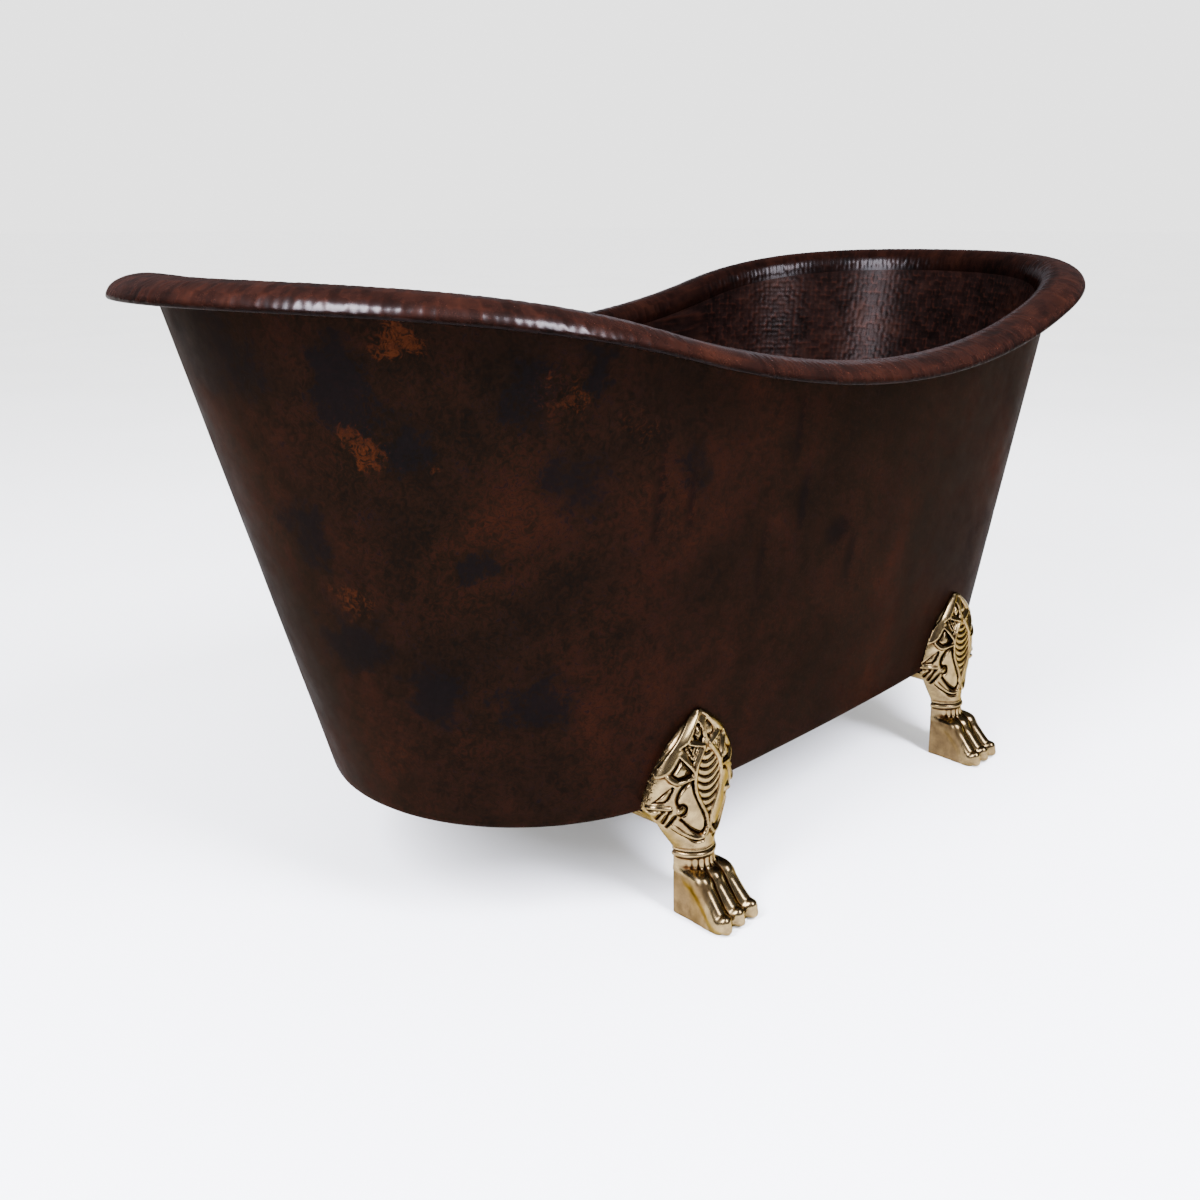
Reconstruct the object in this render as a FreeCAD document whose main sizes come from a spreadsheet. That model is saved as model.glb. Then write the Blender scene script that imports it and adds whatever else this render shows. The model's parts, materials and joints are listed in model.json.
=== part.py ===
import FreeCAD, Part
import math
import os
import Sketcher
from FreeCAD import Matrix, Placement, Rotation, Vector

# Double-walled slipper bathtub on four cast claw feet.
# X runs along the tub, Y across it, Z up from the floor it stands on; all lengths are millimetres.

SIZES = (
    ("wall_trim_height", 30, "upper reference oval of the outer wall over the ends of the rim line"),
    ("wall_top_half_length", 794, "half length of that oval"),
    ("wall_top_half_width", 408, "half width of that oval"),
    ("wall_top_side_bow", 28, "bow of that oval's long sides beyond its end radius"),
    ("wall_base_height", 168, "height of the lower reference oval of the outer wall"),
    ("wall_base_half_length", 618, "half length of that oval"),
    ("wall_base_half_width", 305, "half width of that oval"),
    ("wall_base_side_bow", 8, "bow of that oval's long sides beyond its end radius"),
    ("sheet_thickness", 1.6, "thickness of the copper sheet"),
    ("wall_spacing", 26, "outside of the outer wall to the basin face"),
    ("floor_spacing", 46, "step from the lower floor to the basin floor"),
    ("tub_bottom_height", 158, "underside of the tub above the floor"),
    ("base_edge_radius", 10, "rounding where the wall turns into the floor"),
    ("base_pan_depth", 18, "height of the lower floor pan"),
    ("basin_cove_radius", 60, "rounding where the basin wall turns into its floor"),
    ("basin_pan_depth", 90, "height of the basin floor pan"),
    ("rim_end_height", 810, "height of the rim line at both ends"),
    ("rim_dip", 120, "drop of the rim line from its ends to mid length"),
    ("sag_share", 0.56, "share of the rim's sweep that is hollow, the rest is crowned"),
    ("rim_overhang", 52, "reach of the rolled rim beyond the outer wall"),
    ("rim_crest_rise", 25, "height of the rim's crest over its lip"),
    ("rim_crest_offset", 8, "crest of the rim outboard of the outer wall"),
    ("rim_hem_thickness", 5, "thickness of the folded hem at the lip"),
    ("rim_skirt_drop", 14, "depth of the rim's skirt into the basin"),
    ("rim_tuck_rise", 21, "height of the outer wall's edge inside the rim"),
    ("weld_gap", 0.3, "gap left at a weld line or between two round faces"),
    ("bearer_width", 44, "width of a floor bearer over its flanges"),
    ("bearer_crown_width", 20, "width of a bearer's crown"),
    ("bearer_half_length", 170, "half length of a bearer across the tub"),
    ("bearer_sheet", 2, "thickness of a bearer's sheet"),
    ("bearer_inner_place", 150, "place of the inner bearers along the tub"),
    ("bearer_outer_place", 450, "place of the outer bearers along the tub"),
    ("drain_hole_radius", 22, "radius of the drain holes in both floors"),
    ("drain_flange_radius", 36, "radius of the drain flange in the basin"),
    ("drain_flange_thickness", 3, "thickness of the drain flange"),
    ("drain_body_radius", 21, "outside radius of the drain body"),
    ("drain_bore_radius", 18.2, "bore of the drain body"),
    ("drain_body_length", 92, "length of the drain body under its flange"),
    ("drain_seal_thickness", 2, "thickness of the drain's flat seals"),
    ("drain_sleeve_radius", 26, "outside radius of the spacer sleeve between the floors"),
    ("drain_washer_thickness", 2, "thickness of the washer under the tub"),
    ("locknut_height", 10, "height of the drain locknut"),
    ("locknut_radius", 32, "corner radius of the drain locknut"),
    ("tail_radius", 19.05, "outside radius of the drain tailpiece"),
    ("tail_wall", 1.8, "wall of the drain tailpiece"),
    ("tail_socket_depth", 25, "depth of the tailpiece inside the drain body"),
    ("tail_drop", 60, "length of the tailpiece below the drain body"),
    ("spider_depth", 20, "depth of the strainer bars below the flange top"),
    ("spider_bar_width", 3, "width of a strainer bar"),
    ("spider_bar_height", 5, "height of a strainer bar"),
    ("boss_radius", 6.5, "radius of the boss in the middle of the strainer"),
    ("boss_height", 12, "height of that boss"),
    ("stem_radius", 3, "radius of the stopper's stem"),
    ("stopper_travel", 10, "lift of the stopper"),
    ("stopper_radius", 30, "radius of the stopper cap"),
    ("stopper_edge_height", 3, "edge height of the stopper cap"),
    ("stopper_crown_rise", 4, "crown of the stopper cap over its edge"),
    ("stopper_seal_thickness", 2.4, "thickness of the stopper's seal"),
    ("clip_radius", 5.5, "radius of the retaining clip on the stem"),
    ("clip_thickness", 1.5, "thickness of that clip"),
    ("foot_place", 328, "place of the feet along the tub from its middle"),
    ("leaf_half_width", 77, "half width of the foot's leaf at its widest"),
    ("leaf_reach", 36, "reach of the leaf's face beyond the tub wall"),
    ("leaf_tip_height", 284, "height of the leaf's tip"),
    ("ankle_height", 84, "height of the foot's ankle"),
    ("ankle_half_width", 30, "half width of the ankle"),
    ("ankle_half_depth", 19, "half depth of the ankle"),
    ("ankle_set_out", 11, "middle of the ankle outboard of the tub's base edge"),
    ("ankle_band_height", 9, "height of the band round the ankle"),
    ("ankle_band_reach", 3.5, "reach of that band beyond the ankle"),
    ("paw_half_width", 34, "half width of the paw"),
    ("heel_inset", 6, "heel inboard of the tub's base edge"),
    ("toe_reach", 88, "length of the paw from heel to claw tips"),
    ("toe_pitch", 25, "pitch of the toes across the paw"),
    ("toe_radius", 13.5, "radius of a toe at its knuckle"),
    ("toe_root_height", 70, "height at which a toe leaves the ankle"),
    ("lug_half_width", 46, "half width of the foot's fixing lug"),
    ("lug_depth", 66, "depth of the lug under the tub"),
    ("lug_thickness", 14, "thickness of the lug"),
    ("bolt_pitch", 56, "pitch of the two foot bolts"),
    ("bolt_setback", 34, "bolt line inboard of the heel"),
    ("bolt_radius", 5, "radius of a foot bolt"),
    ("bolt_clearance", 0.4, "gap round a bolt in its hole"),
    ("bolt_head_radius", 9.8, "corner radius of bolt heads and nuts"),
    ("bolt_head_height", 6.4, "height of a bolt head"),
    ("nut_height", 8, "height of a nut"),
    ("bolt_overrun", 3, "length of a bolt beyond its nut"),
    ("washer_radius", 10.5, "radius of a bolt washer"),
    ("washer_thickness", 2, "thickness of a bolt washer"),
    ("plate_half_length", 52, "half length of a foot plate"),
    ("plate_half_depth", 19, "half depth of a foot plate"),
    ("plate_thickness", 6, "thickness of a foot plate"),
    ("cut_overrun", 30, "reach of a cut beyond the material"),
)

doc = FreeCAD.newDocument("slipper_bathtub")
sheet = doc.addObject("Spreadsheet::Sheet", "Size")
for row, (alias, value, meaning) in enumerate(SIZES, start=1):
    sheet.set(f"A{row}", meaning)
    sheet.set(f"B{row}", str(value))
    sheet.setAlias(f"B{row}", alias)
doc.recompute()

UP = Vector(0, 0, 1)
QUARTER_TURN = 90
NODES = []


def num(formula):
    """Value of a formula over the sheet, as a plain number."""
    return float(sheet.evalExpression(formula))


def bind(obj, path, formula):
    """Tie one property of an object to a formula over the sheet."""
    obj.setExpression(path, formula)


def place(obj, x="0", y="0", z="0"):
    """Tie the position of an object to formulas over the sheet."""
    bind(obj, ".Placement.Base.x", x)
    bind(obj, ".Placement.Base.y", y)
    bind(obj, ".Placement.Base.z", z)


def keep(obj, label):
    """Name an object as a finished sub-part."""
    obj.Label = label
    NODES.append(obj)
    return obj


def origin_plane(body, role):
    """One of a body's own origin planes."""
    return next(f for f in body.Origin.OriginFeatures if f.Role == role)


def new_sketch(body, name, role, lift="0"):
    """A sketch on one of the body's origin planes, lifted along the plane's normal."""
    sketch = body.newObject("Sketcher::SketchObject", name)
    sketch.AttachmentSupport = [(origin_plane(body, role), "")]
    sketch.MapMode = "FlatFace"
    bind(sketch, ".AttachmentOffset.Base.z", lift)
    return sketch


def dimension(sketch, formula, kind, *where):
    """A driving dimension whose value follows a formula over the sheet."""
    index = sketch.addConstraint(Sketcher.Constraint(kind, *where, num(formula)))
    bind(sketch, f"Constraints[{index}]", formula)


def tie(sketch, kind, *where):
    """A geometric constraint without a value."""
    sketch.addConstraint(Sketcher.Constraint(kind, *where))


def arc(sketch, centre, radius, start, end):
    """An arc drawn anticlockwise from one angle to another."""
    circle = Part.Circle(centre, UP, radius)
    return sketch.addGeometry(Part.ArcOfCircle(circle, start, end), False)


def segment(sketch, start, end):
    """A straight line in a sketch."""
    return sketch.addGeometry(Part.LineSegment(start, end), False)


WALL_TOP = "(Size.rim_end_height + Size.wall_trim_height)"


def between(low, high, height):
    """Formula for a wall size at some height, on the straight line between its two ovals."""
    part = f"(({height}) - Size.wall_base_height) / ({WALL_TOP} - Size.wall_base_height)"
    return f"(Size.{low} + (Size.{high} - Size.{low}) * {part})"


def wall_oval(height, inset):
    """Formulas of the wall's oval at a height: end-arc place, end radius and side radius."""
    length = between("wall_base_half_length", "wall_top_half_length", height)
    width = between("wall_base_half_width", "wall_top_half_width", height)
    bow = between("wall_base_side_bow", "wall_top_side_bow", height)
    end = f"({width} - {bow})"
    centre = f"({length} - {end})"
    side = f"(({centre}^2 + {width}^2 - {end}^2) / (2 * {bow}))"
    return centre, f"({end} - ({inset}))", f"({side} - ({inset}))"


def full_oval(body, name, height, inset="0"):
    """A closed four-arc oval of the wall at some height."""
    centre, end, side = wall_oval(height, inset)
    across = num(centre)
    end_radius = num(end)
    side_radius = num(side)
    drop = math.sqrt((side_radius - end_radius) ** 2 - across**2)
    turn = math.atan2(drop, across)
    sketch = new_sketch(body, name, "XY_Plane", height)
    right = arc(sketch, Vector(across, 0, 0), end_radius, -turn, turn)
    back = arc(sketch, Vector(0, -drop, 0), side_radius, turn, math.pi - turn)
    left = arc(sketch, Vector(-across, 0, 0), end_radius, math.pi - turn, math.pi + turn)
    front = arc(sketch, Vector(0, drop, 0), side_radius, math.pi + turn, 2 * math.pi - turn)
    for first, second in ((right, back), (back, left), (left, front), (front, right)):
        tie(sketch, "Tangent", first, 2, second, 1)
    tie(sketch, "PointOnObject", right, 3, -1)
    for side_arc in (back, front):
        tie(sketch, "PointOnObject", side_arc, 3, -2)
    tie(sketch, "Equal", right, left)
    tie(sketch, "Equal", back, front)
    dimension(sketch, centre, "DistanceX", -1, 1, right, 3)
    dimension(sketch, end, "Radius", right)
    dimension(sketch, side, "Radius", back)
    return sketch


def half_ring(body, name, height, inset):
    """The left half of the wall's oval band, one sheet thick, cut just short of the tub's middle."""
    sketch = new_sketch(body, name, "XY_Plane", height)
    seam = num("Size.weld_gap / 2")
    bands = []
    for depth in (inset, f"{inset} + Size.sheet_thickness"):
        centre, end, side = wall_oval(height, depth)
        across = num(centre)
        end_radius = num(end)
        side_radius = num(side)
        drop = math.sqrt((side_radius - end_radius) ** 2 - across**2)
        turn = math.atan2(drop, -across)
        lean = math.asin(seam / side_radius)
        near = arc(sketch, Vector(0, drop, 0), side_radius, -turn, -math.pi / 2 - lean)
        curl = arc(sketch, Vector(-across, 0, 0), end_radius, turn, 2 * math.pi - turn)
        far = arc(sketch, Vector(0, -drop, 0), side_radius, math.pi / 2 + lean, turn)
        tie(sketch, "Tangent", near, 1, curl, 2)
        tie(sketch, "Tangent", curl, 1, far, 2)
        tie(sketch, "PointOnObject", curl, 3, -1)
        tie(sketch, "PointOnObject", near, 3, -2)
        tie(sketch, "PointOnObject", far, 3, -2)
        tie(sketch, "Equal", near, far)
        dimension(sketch, centre, "DistanceX", curl, 3, -1, 1)
        dimension(sketch, end, "Radius", curl)
        dimension(sketch, side, "Radius", near)
        bands.append((near, far))
    for which, tip in ((0, 2), (1, 1)):
        outer = bands[0][which]
        inner = bands[1][which]
        ends = [sketch.getPoint(line, tip) for line in (outer, inner)]
        edge = segment(sketch, *ends)
        tie(sketch, "Coincident", outer, tip, edge, 1)
        tie(sketch, "Coincident", inner, tip, edge, 2)
        tie(sketch, "Vertical", edge)
        dimension(sketch, "Size.weld_gap / 2", "DistanceX", edge, 1, -1, 1)
    return sketch


def loft(body, name, kind, lower, upper):
    """A straight-sided loft between two sketches of a body."""
    feature = body.newObject(f"PartDesign::{kind}", name)
    feature.Profile = lower
    feature.Sections = [upper]
    feature.Ruled = True
    return feature


RIM_END_LENGTH = between("wall_base_half_length", "wall_top_half_length", "Size.rim_end_height")
RIM_RUN = f"({RIM_END_LENGTH} + Size.rim_overhang)"
RIM_MID = "(Size.rim_end_height - Size.rim_dip)"
RADIUS_SUM = f"(({RIM_RUN}^2 + Size.rim_dip^2) / (2 * Size.rim_dip))"
SAG_RADIUS = f"(Size.sag_share * {RADIUS_SUM})"
CROWN_RADIUS = f"((1 - Size.sag_share) * {RADIUS_SUM})"


def slipper_cut(body, name, shift):
    """Take away everything above the rim's slipper curve, raised or lowered by a shift."""
    run = num(RIM_RUN)
    sag = num(SAG_RADIUS)
    crown = num(CROWN_RADIUS)
    turn = math.asin(run / (sag + crown))
    low = num(f"{RIM_MID} + {shift}")
    high = num(f"Size.rim_end_height + {shift}")
    roof = f"{WALL_TOP} + 2 * Size.cut_overrun"
    sketch = new_sketch(body, f"{name}_sketch", "XZ_Plane")
    crest = math.pi / 2
    left = arc(sketch, Vector(-run, high - crown, 0), crown, crest - turn, crest)
    hollow = arc(sketch, Vector(0, low + sag, 0), sag, -crest - turn, -crest + turn)
    right = arc(sketch, Vector(run, high - crown, 0), crown, crest, crest + turn)
    top = num(roof)
    corners = [(run, high), (run, top), (-run, top), (-run, high)]
    points = [Vector(x, z, 0) for x, z in corners]
    sides = [segment(sketch, a, b) for a, b in zip(points, points[1:])]
    tie(sketch, "Tangent", left, 1, hollow, 1)
    tie(sketch, "Tangent", hollow, 2, right, 2)
    tie(sketch, "Coincident", right, 1, sides[0], 1)
    tie(sketch, "Coincident", sides[0], 2, sides[1], 1)
    tie(sketch, "Coincident", sides[1], 2, sides[2], 1)
    tie(sketch, "Coincident", sides[2], 2, left, 2)
    tie(sketch, "Vertical", sides[0])
    tie(sketch, "Horizontal", sides[1])
    tie(sketch, "Vertical", sides[2])
    tie(sketch, "Equal", left, right)
    dimension(sketch, CROWN_RADIUS, "Radius", right)
    dimension(sketch, SAG_RADIUS, "Radius", hollow)
    dimension(sketch, RIM_RUN, "DistanceX", -1, 1, right, 3)
    dimension(sketch, RIM_RUN, "DistanceX", -1, 1, sides[0], 1)
    dimension(sketch, RIM_RUN, "DistanceX", left, 3, -1, 1)
    dimension(sketch, RIM_RUN, "DistanceX", left, 2, -1, 1)
    dimension(sketch, f"Size.rim_end_height + {shift}", "DistanceY", -1, 1, right, 1)
    dimension(sketch, f"Size.rim_end_height + {shift}", "DistanceY", -1, 1, left, 2)
    dimension(sketch, roof, "DistanceY", -1, 1, sides[1], 1)
    return through_cut(body, name, sketch)


def through_cut(body, name, sketch):
    """A pocket that runs right through the body on both sides of its sketch."""
    cut = body.newObject("PartDesign::Pocket", name)
    cut.Profile = sketch
    cut.SideType = "Symmetric"
    cut.Type = "ThroughAll"
    return cut


def rectangle(sketch, left, right, bottom, top):
    """A rectangle given by formulas for its four sides."""
    x0, x1, z0, z1 = (num(side) for side in (left, right, bottom, top))
    corners = [Vector(x0, z0, 0), Vector(x1, z0, 0), Vector(x1, z1, 0), Vector(x0, z1, 0)]
    lines = [segment(sketch, corners[i], corners[(i + 1) % len(corners)]) for i in range(len(corners))]
    for i, line in enumerate(lines):
        tie(sketch, "Coincident", line, 2, lines[(i + 1) % len(lines)], 1)
    for line in lines[::2]:
        tie(sketch, "Horizontal", line)
    for line in lines[1::2]:
        tie(sketch, "Vertical", line)
    dimension(sketch, left, "DistanceX", -1, 1, lines[0], 1)
    dimension(sketch, right, "DistanceX", -1, 1, lines[0], 2)
    dimension(sketch, bottom, "DistanceY", -1, 1, lines[0], 1)
    dimension(sketch, top, "DistanceY", -1, 1, lines[1], 2)


def wall_half(label, inset, weld_height, shift):
    """The left half of a wall: a tapered band, trimmed along its lower weld and the slipper curve."""
    body = doc.addObject("PartDesign::Body", f"{label}_left")
    lower = half_ring(body, f"{label}_lower", "Size.wall_base_height", inset)
    upper = half_ring(body, f"{label}_upper", WALL_TOP, inset)
    loft(body, f"{label}_band", "AdditiveLoft", lower, upper)
    foot_trim = new_sketch(body, f"{label}_trim_sketch", "XZ_Plane")
    reach = "Size.wall_top_half_length + Size.cut_overrun"
    rectangle(foot_trim, f"-({reach})", reach, "Size.wall_base_height - Size.cut_overrun", weld_height)
    through_cut(body, f"{label}_trim", foot_trim)
    slipper_cut(body, f"{label}_slipper", shift)
    doc.recompute()
    keep(body, f"{label}_left")
    return body


def mirrored(source, label, normal):
    """A mirror image of a sub-part across a plane through the tub's middle."""
    image = doc.addObject("Part::Mirroring", label)
    image.Source = source
    image.Normal = normal
    return keep(image, label)


ACROSS_LENGTH = Vector(1, 0, 0)
ACROSS_WIDTH = Vector(0, 1, 0)
PAN_TOP = "(Size.tub_bottom_height + Size.base_pan_depth)"
BASIN_BOTTOM = "(Size.tub_bottom_height + Size.floor_spacing)"
BASIN_FLOOR = f"({BASIN_BOTTOM} + Size.sheet_thickness)"
BASIN_PAN_TOP = f"({BASIN_BOTTOM} + Size.basin_pan_depth)"
LOWER_FLOOR = "(Size.tub_bottom_height + Size.sheet_thickness)"


def walls():
    """Both walls of the tub, each of two halves welded at the middle of the long sides."""
    outer = wall_half("outer_wall", "0", f"{PAN_TOP} + Size.weld_gap", "Size.rim_tuck_rise")
    mirrored(outer, "outer_wall_right", ACROSS_LENGTH)
    basin = wall_half(
        "basin_wall",
        "Size.wall_spacing - Size.sheet_thickness",
        f"{BASIN_PAN_TOP} + Size.weld_gap",
        "-(Size.rim_skirt_drop + Size.weld_gap)",
    )
    mirrored(basin, "basin_wall_right", ACROSS_LENGTH)


def edges_at(shape, height):
    """Names of the edges of a shape that lie flat at some height."""
    names = []
    for index, edge in enumerate(shape.Edges, start=1):
        box = edge.BoundBox
        middle = (box.ZMin + box.ZMax) / 2
        if box.ZLength < num("Size.weld_gap") and abs(middle - height) < num("Size.weld_gap"):
            names.append(f"Edge{index}")
    return names


def fillet(body, name, base, height, radius):
    """Round all edges of the last feature that lie at some height."""
    doc.recompute()
    feature = body.newObject("PartDesign::Fillet", name)
    feature.Base = (base, edges_at(base.Shape, num(height)))
    bind(feature, "Radius", radius)
    return feature


def pan(label, bottom, top, inset, radius):
    """A shallow pan with sloping sides and a rounded edge, one sheet thick."""
    body = doc.addObject("PartDesign::Body", label)
    floor = f"({bottom} + Size.sheet_thickness)"
    depth = f"({inset} + Size.sheet_thickness)"
    outside = full_oval(body, f"{label}_outer_low", bottom, inset)
    outside_top = full_oval(body, f"{label}_outer_high", top, inset)
    loft(body, f"{label}_block", "AdditiveLoft", outside, outside_top)
    inside = full_oval(body, f"{label}_inner_low", floor, depth)
    inside_top = full_oval(body, f"{label}_inner_high", top, depth)
    hollow = loft(body, f"{label}_hollow", "SubtractiveLoft", inside, inside_top)
    cove = fillet(body, f"{label}_cove", hollow, floor, f"{radius} - Size.sheet_thickness")
    fillet(body, f"{label}_edge", cove, bottom, radius)
    doc.recompute()
    return keep(body, label)


def circle(sketch, radius, x="0", y="0"):
    """A circle given by formulas for its radius and centre."""
    ring = sketch.addGeometry(Part.Circle(Vector(num(x), num(y), 0), UP, num(radius)), False)
    dimension(sketch, radius, "Radius", ring)
    if x == "0" and y == "0":
        tie(sketch, "Coincident", ring, 3, -1, 1)
        return
    dimension(sketch, x, "DistanceX", -1, 1, ring, 3)
    dimension(sketch, y, "DistanceY", -1, 1, ring, 3)


HEEL_LINE = "(Size.wall_base_half_width - Size.heel_inset)"
BOLT_LINE = f"({HEEL_LINE} - Size.bolt_setback)"
BOLT_SPOTS = [
    (f"{along} * (Size.foot_place + {side} * Size.bolt_pitch / 2)", f"{across} * {BOLT_LINE}")
    for along in ("1", "-1")
    for across in ("1", "-1")
    for side in ("1", "-1")
]


def floors():
    """The lower floor with its bolt holes and the basin floor, both with a drain hole."""
    lower = pan("lower_floor", "Size.tub_bottom_height", PAN_TOP, "0", "Size.base_edge_radius")
    holes = new_sketch(lower, "lower_floor_holes", "XY_Plane", "Size.tub_bottom_height")
    circle(holes, "Size.drain_hole_radius")
    for x, y in BOLT_SPOTS:
        circle(holes, "Size.bolt_radius + Size.bolt_clearance", x, y)
    through_cut(lower, "lower_floor_drilling", holes)
    inset = "Size.wall_spacing - Size.sheet_thickness"
    basin = pan("basin_floor", BASIN_BOTTOM, BASIN_PAN_TOP, inset, "Size.basin_cove_radius")
    hole = new_sketch(basin, "basin_floor_hole", "XY_Plane", BASIN_BOTTOM)
    circle(hole, "Size.drain_hole_radius")
    through_cut(basin, "basin_floor_drilling", hole)


def oval_at(height):
    """End-arc place, side-arc drop, end radius and side radius of the outer wall at a height."""
    centre, end, side = wall_oval(str(height), "0")
    across = num(centre)
    end_radius = num(end)
    side_radius = num(side)
    drop = math.sqrt((side_radius - end_radius) ** 2 - across**2)
    return across, drop, end_radius, side_radius


def wall_point(height, angle):
    """Point of the outer wall at a height where its outward normal points along an angle."""
    across, drop, end_radius, side_radius = oval_at(height)
    normal = Vector(math.cos(angle), math.sin(angle), 0)
    if abs(normal.y) * across > abs(normal.x) * drop:
        side = math.copysign(1, normal.y)
        return Vector(0, -side * drop, 0) + normal * side_radius
    end = math.copysign(1, normal.x)
    return Vector(end * across, 0, 0) + normal * end_radius


def slipper_height(x):
    """Height of the rim line at a place along the tub."""
    run = num(RIM_RUN)
    sag = num(SAG_RADIUS)
    crown = num(CROWN_RADIUS)
    away = min(abs(x), run)
    if away < sag * run / (sag + crown):
        return num(RIM_MID) + sag - math.sqrt(sag**2 - away**2)
    return num("Size.rim_end_height") - crown + math.sqrt(crown**2 - (run - away) ** 2)


SETTLING_ROUNDS = 6
RIM_STATIONS = 65
SLOPE_STEP_SHARE = 0.1


def rim_station(angle):
    """Foot point, outward normal and wall slope of the rim where the wall faces some angle."""
    height = num(RIM_MID)
    for _ in range(SETTLING_ROUNDS):
        foot = wall_point(height, angle)
        height = slipper_height(foot.x)
    normal = Vector(math.cos(angle), math.sin(angle), 0)
    step = SLOPE_STEP_SHARE * height
    slope = (wall_point(height + step, angle) - wall_point(height, angle)).dot(normal) / step
    foot.z = height
    return foot, normal, slope


def skirt_bottom(foot, normal, slope):
    """Depth of the skirt below the rim line, following the slipper curve at the basin face."""
    spacing = num("Size.wall_spacing")
    depth = num("Size.rim_skirt_drop")
    for _ in range(SETTLING_ROUNDS):
        x = foot.x - normal.x * (spacing + slope * depth)
        depth = foot.z - slipper_height(x) + num("Size.rim_skirt_drop")
    return depth


def rim_section(angle):
    """Closed outline of the rolled rim: basin skirt, dome, folded hem and hollow underside."""
    foot, normal, slope = rim_station(angle)
    thickness = num("Size.sheet_thickness")
    spacing = num("Size.wall_spacing")
    rise = num("Size.rim_crest_rise")
    crest = num("Size.rim_crest_offset")
    lip = num("Size.rim_overhang")
    hem = num("Size.rim_hem_thickness")
    lean = math.atan(slope)
    radius = ((crest + spacing) * math.cos(lean) - rise * math.sin(lean)) / (1 - math.sin(lean))
    middle = Vector(crest, rise - radius, 0)
    bottom = -skirt_bottom(foot, normal, slope)

    def face(depth, start, end):
        """Arc from the basin face up to the crest, some depth inside the sheet."""
        return Part.ArcOfCircle(Part.Circle(middle, UP, radius - depth), start, end).toShape()

    def skirt(depth, height):
        """Point of the skirt at a height, some depth inside the sheet."""
        return Vector(height * slope - spacing + depth / math.cos(lean), height, 0)

    def dome(depth, start, end):
        """Arc of the dome's outer quarter, some depth inside the sheet."""
        curve = Part.Ellipse(Vector(crest, 0, 0), lip - crest - depth, rise - depth)
        return Part.ArcOfEllipse(curve, start, end).toShape()

    half_turn = math.pi / 2
    shoulder = math.acos((lip - hem - crest) / (lip - crest - thickness))
    outer = face(0, half_turn, math.pi - lean)
    inner = face(thickness, half_turn, math.pi - lean)
    under = dome(thickness, shoulder, half_turn)
    bead = Part.Circle(Vector(lip - hem / 2, 0, 0), UP, hem / 2)
    edges = [
        outer,
        dome(0, 0, half_turn),
        Part.ArcOfCircle(bead, math.pi, 2 * math.pi).toShape(),
        Part.makeLine(Vector(lip - hem, 0, 0), under.Vertexes[0].Point),
        under,
        inner,
        Part.makeLine(inner.Vertexes[1].Point, skirt(thickness, bottom)),
        Part.makeLine(skirt(thickness, bottom), skirt(0, bottom)),
        Part.makeLine(skirt(0, bottom), outer.Vertexes[1].Point),
    ]
    wire = Part.Wire(Part.__sortEdges__(edges))
    side = normal.cross(UP)
    stand = Matrix(
        normal.x, UP.x, side.x, foot.x,
        normal.y, UP.y, side.y, foot.y,
        normal.z, UP.z, side.z, foot.z,
    )
    wire.transformShape(stand)
    return wire


def rim():
    """The rolled rim in two halves that meet at the middle of the long sides."""
    across = oval_at(num(RIM_MID))
    turn = math.atan2(across[1], across[0])
    half = (RIM_STATIONS - 1) // 2
    flat = math.pi / 2 - turn
    reach = across[3] * flat + across[2] * turn
    wires = []
    for index in range(-half, half + 1):
        walked = abs(index) / half * reach
        bend = min(walked, across[2] * turn) / across[2]
        bend += max(walked - across[2] * turn, 0) / across[3]
        wires.append(rim_section(math.pi + math.copysign(bend, index)))
    left = doc.addObject("Part::Feature", "rim_left")
    left.Shape = Part.makeLoft(wires, True, False)
    left.Placement = Placement(Vector(-num("Size.weld_gap") / 2, 0, 0), Rotation())
    keep(left, "rim_left")
    mirrored(left, "rim_right", ACROSS_LENGTH)


def bearers():
    """Four hat-shaped bearers that carry the basin floor on the lower floor."""
    sheet_size = "Size.bearer_sheet"
    half = "Size.bearer_width / 2"
    crown = "Size.bearer_crown_width / 2"
    outline = (
        (f"-({half})", LOWER_FLOOR),
        (f"-({crown})", LOWER_FLOOR),
        (f"-({crown})", f"{BASIN_BOTTOM} - {sheet_size}"),
        (crown, f"{BASIN_BOTTOM} - {sheet_size}"),
        (crown, LOWER_FLOOR),
        (half, LOWER_FLOOR),
        (half, f"{LOWER_FLOOR} + {sheet_size}"),
        (f"{crown} + {sheet_size}", f"{LOWER_FLOOR} + {sheet_size}"),
        (f"{crown} + {sheet_size}", BASIN_BOTTOM),
        (f"-({crown} + {sheet_size})", BASIN_BOTTOM),
        (f"-({crown} + {sheet_size})", f"{LOWER_FLOOR} + {sheet_size}"),
        (f"-({half})", f"{LOWER_FLOOR} + {sheet_size}"),
    )
    spots = (
        "-Size.bearer_outer_place",
        "-Size.bearer_inner_place",
        "Size.bearer_inner_place",
        "Size.bearer_outer_place",
    )
    for number, spot in enumerate(spots, start=1):
        body = doc.addObject("PartDesign::Body", f"floor_bearer_{number}")
        sketch = new_sketch(body, f"bearer_{number}_outline", "XZ_Plane")
        outline_sketch(sketch, outline)
        pad = body.newObject("PartDesign::Pad", f"bearer_{number}_bar")
        pad.Profile = sketch
        pad.SideType = "Symmetric"
        bind(pad, "Length", "2 * Size.bearer_half_length")
        place(body, x=spot)
        keep(body, f"floor_bearer_{number}")


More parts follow.
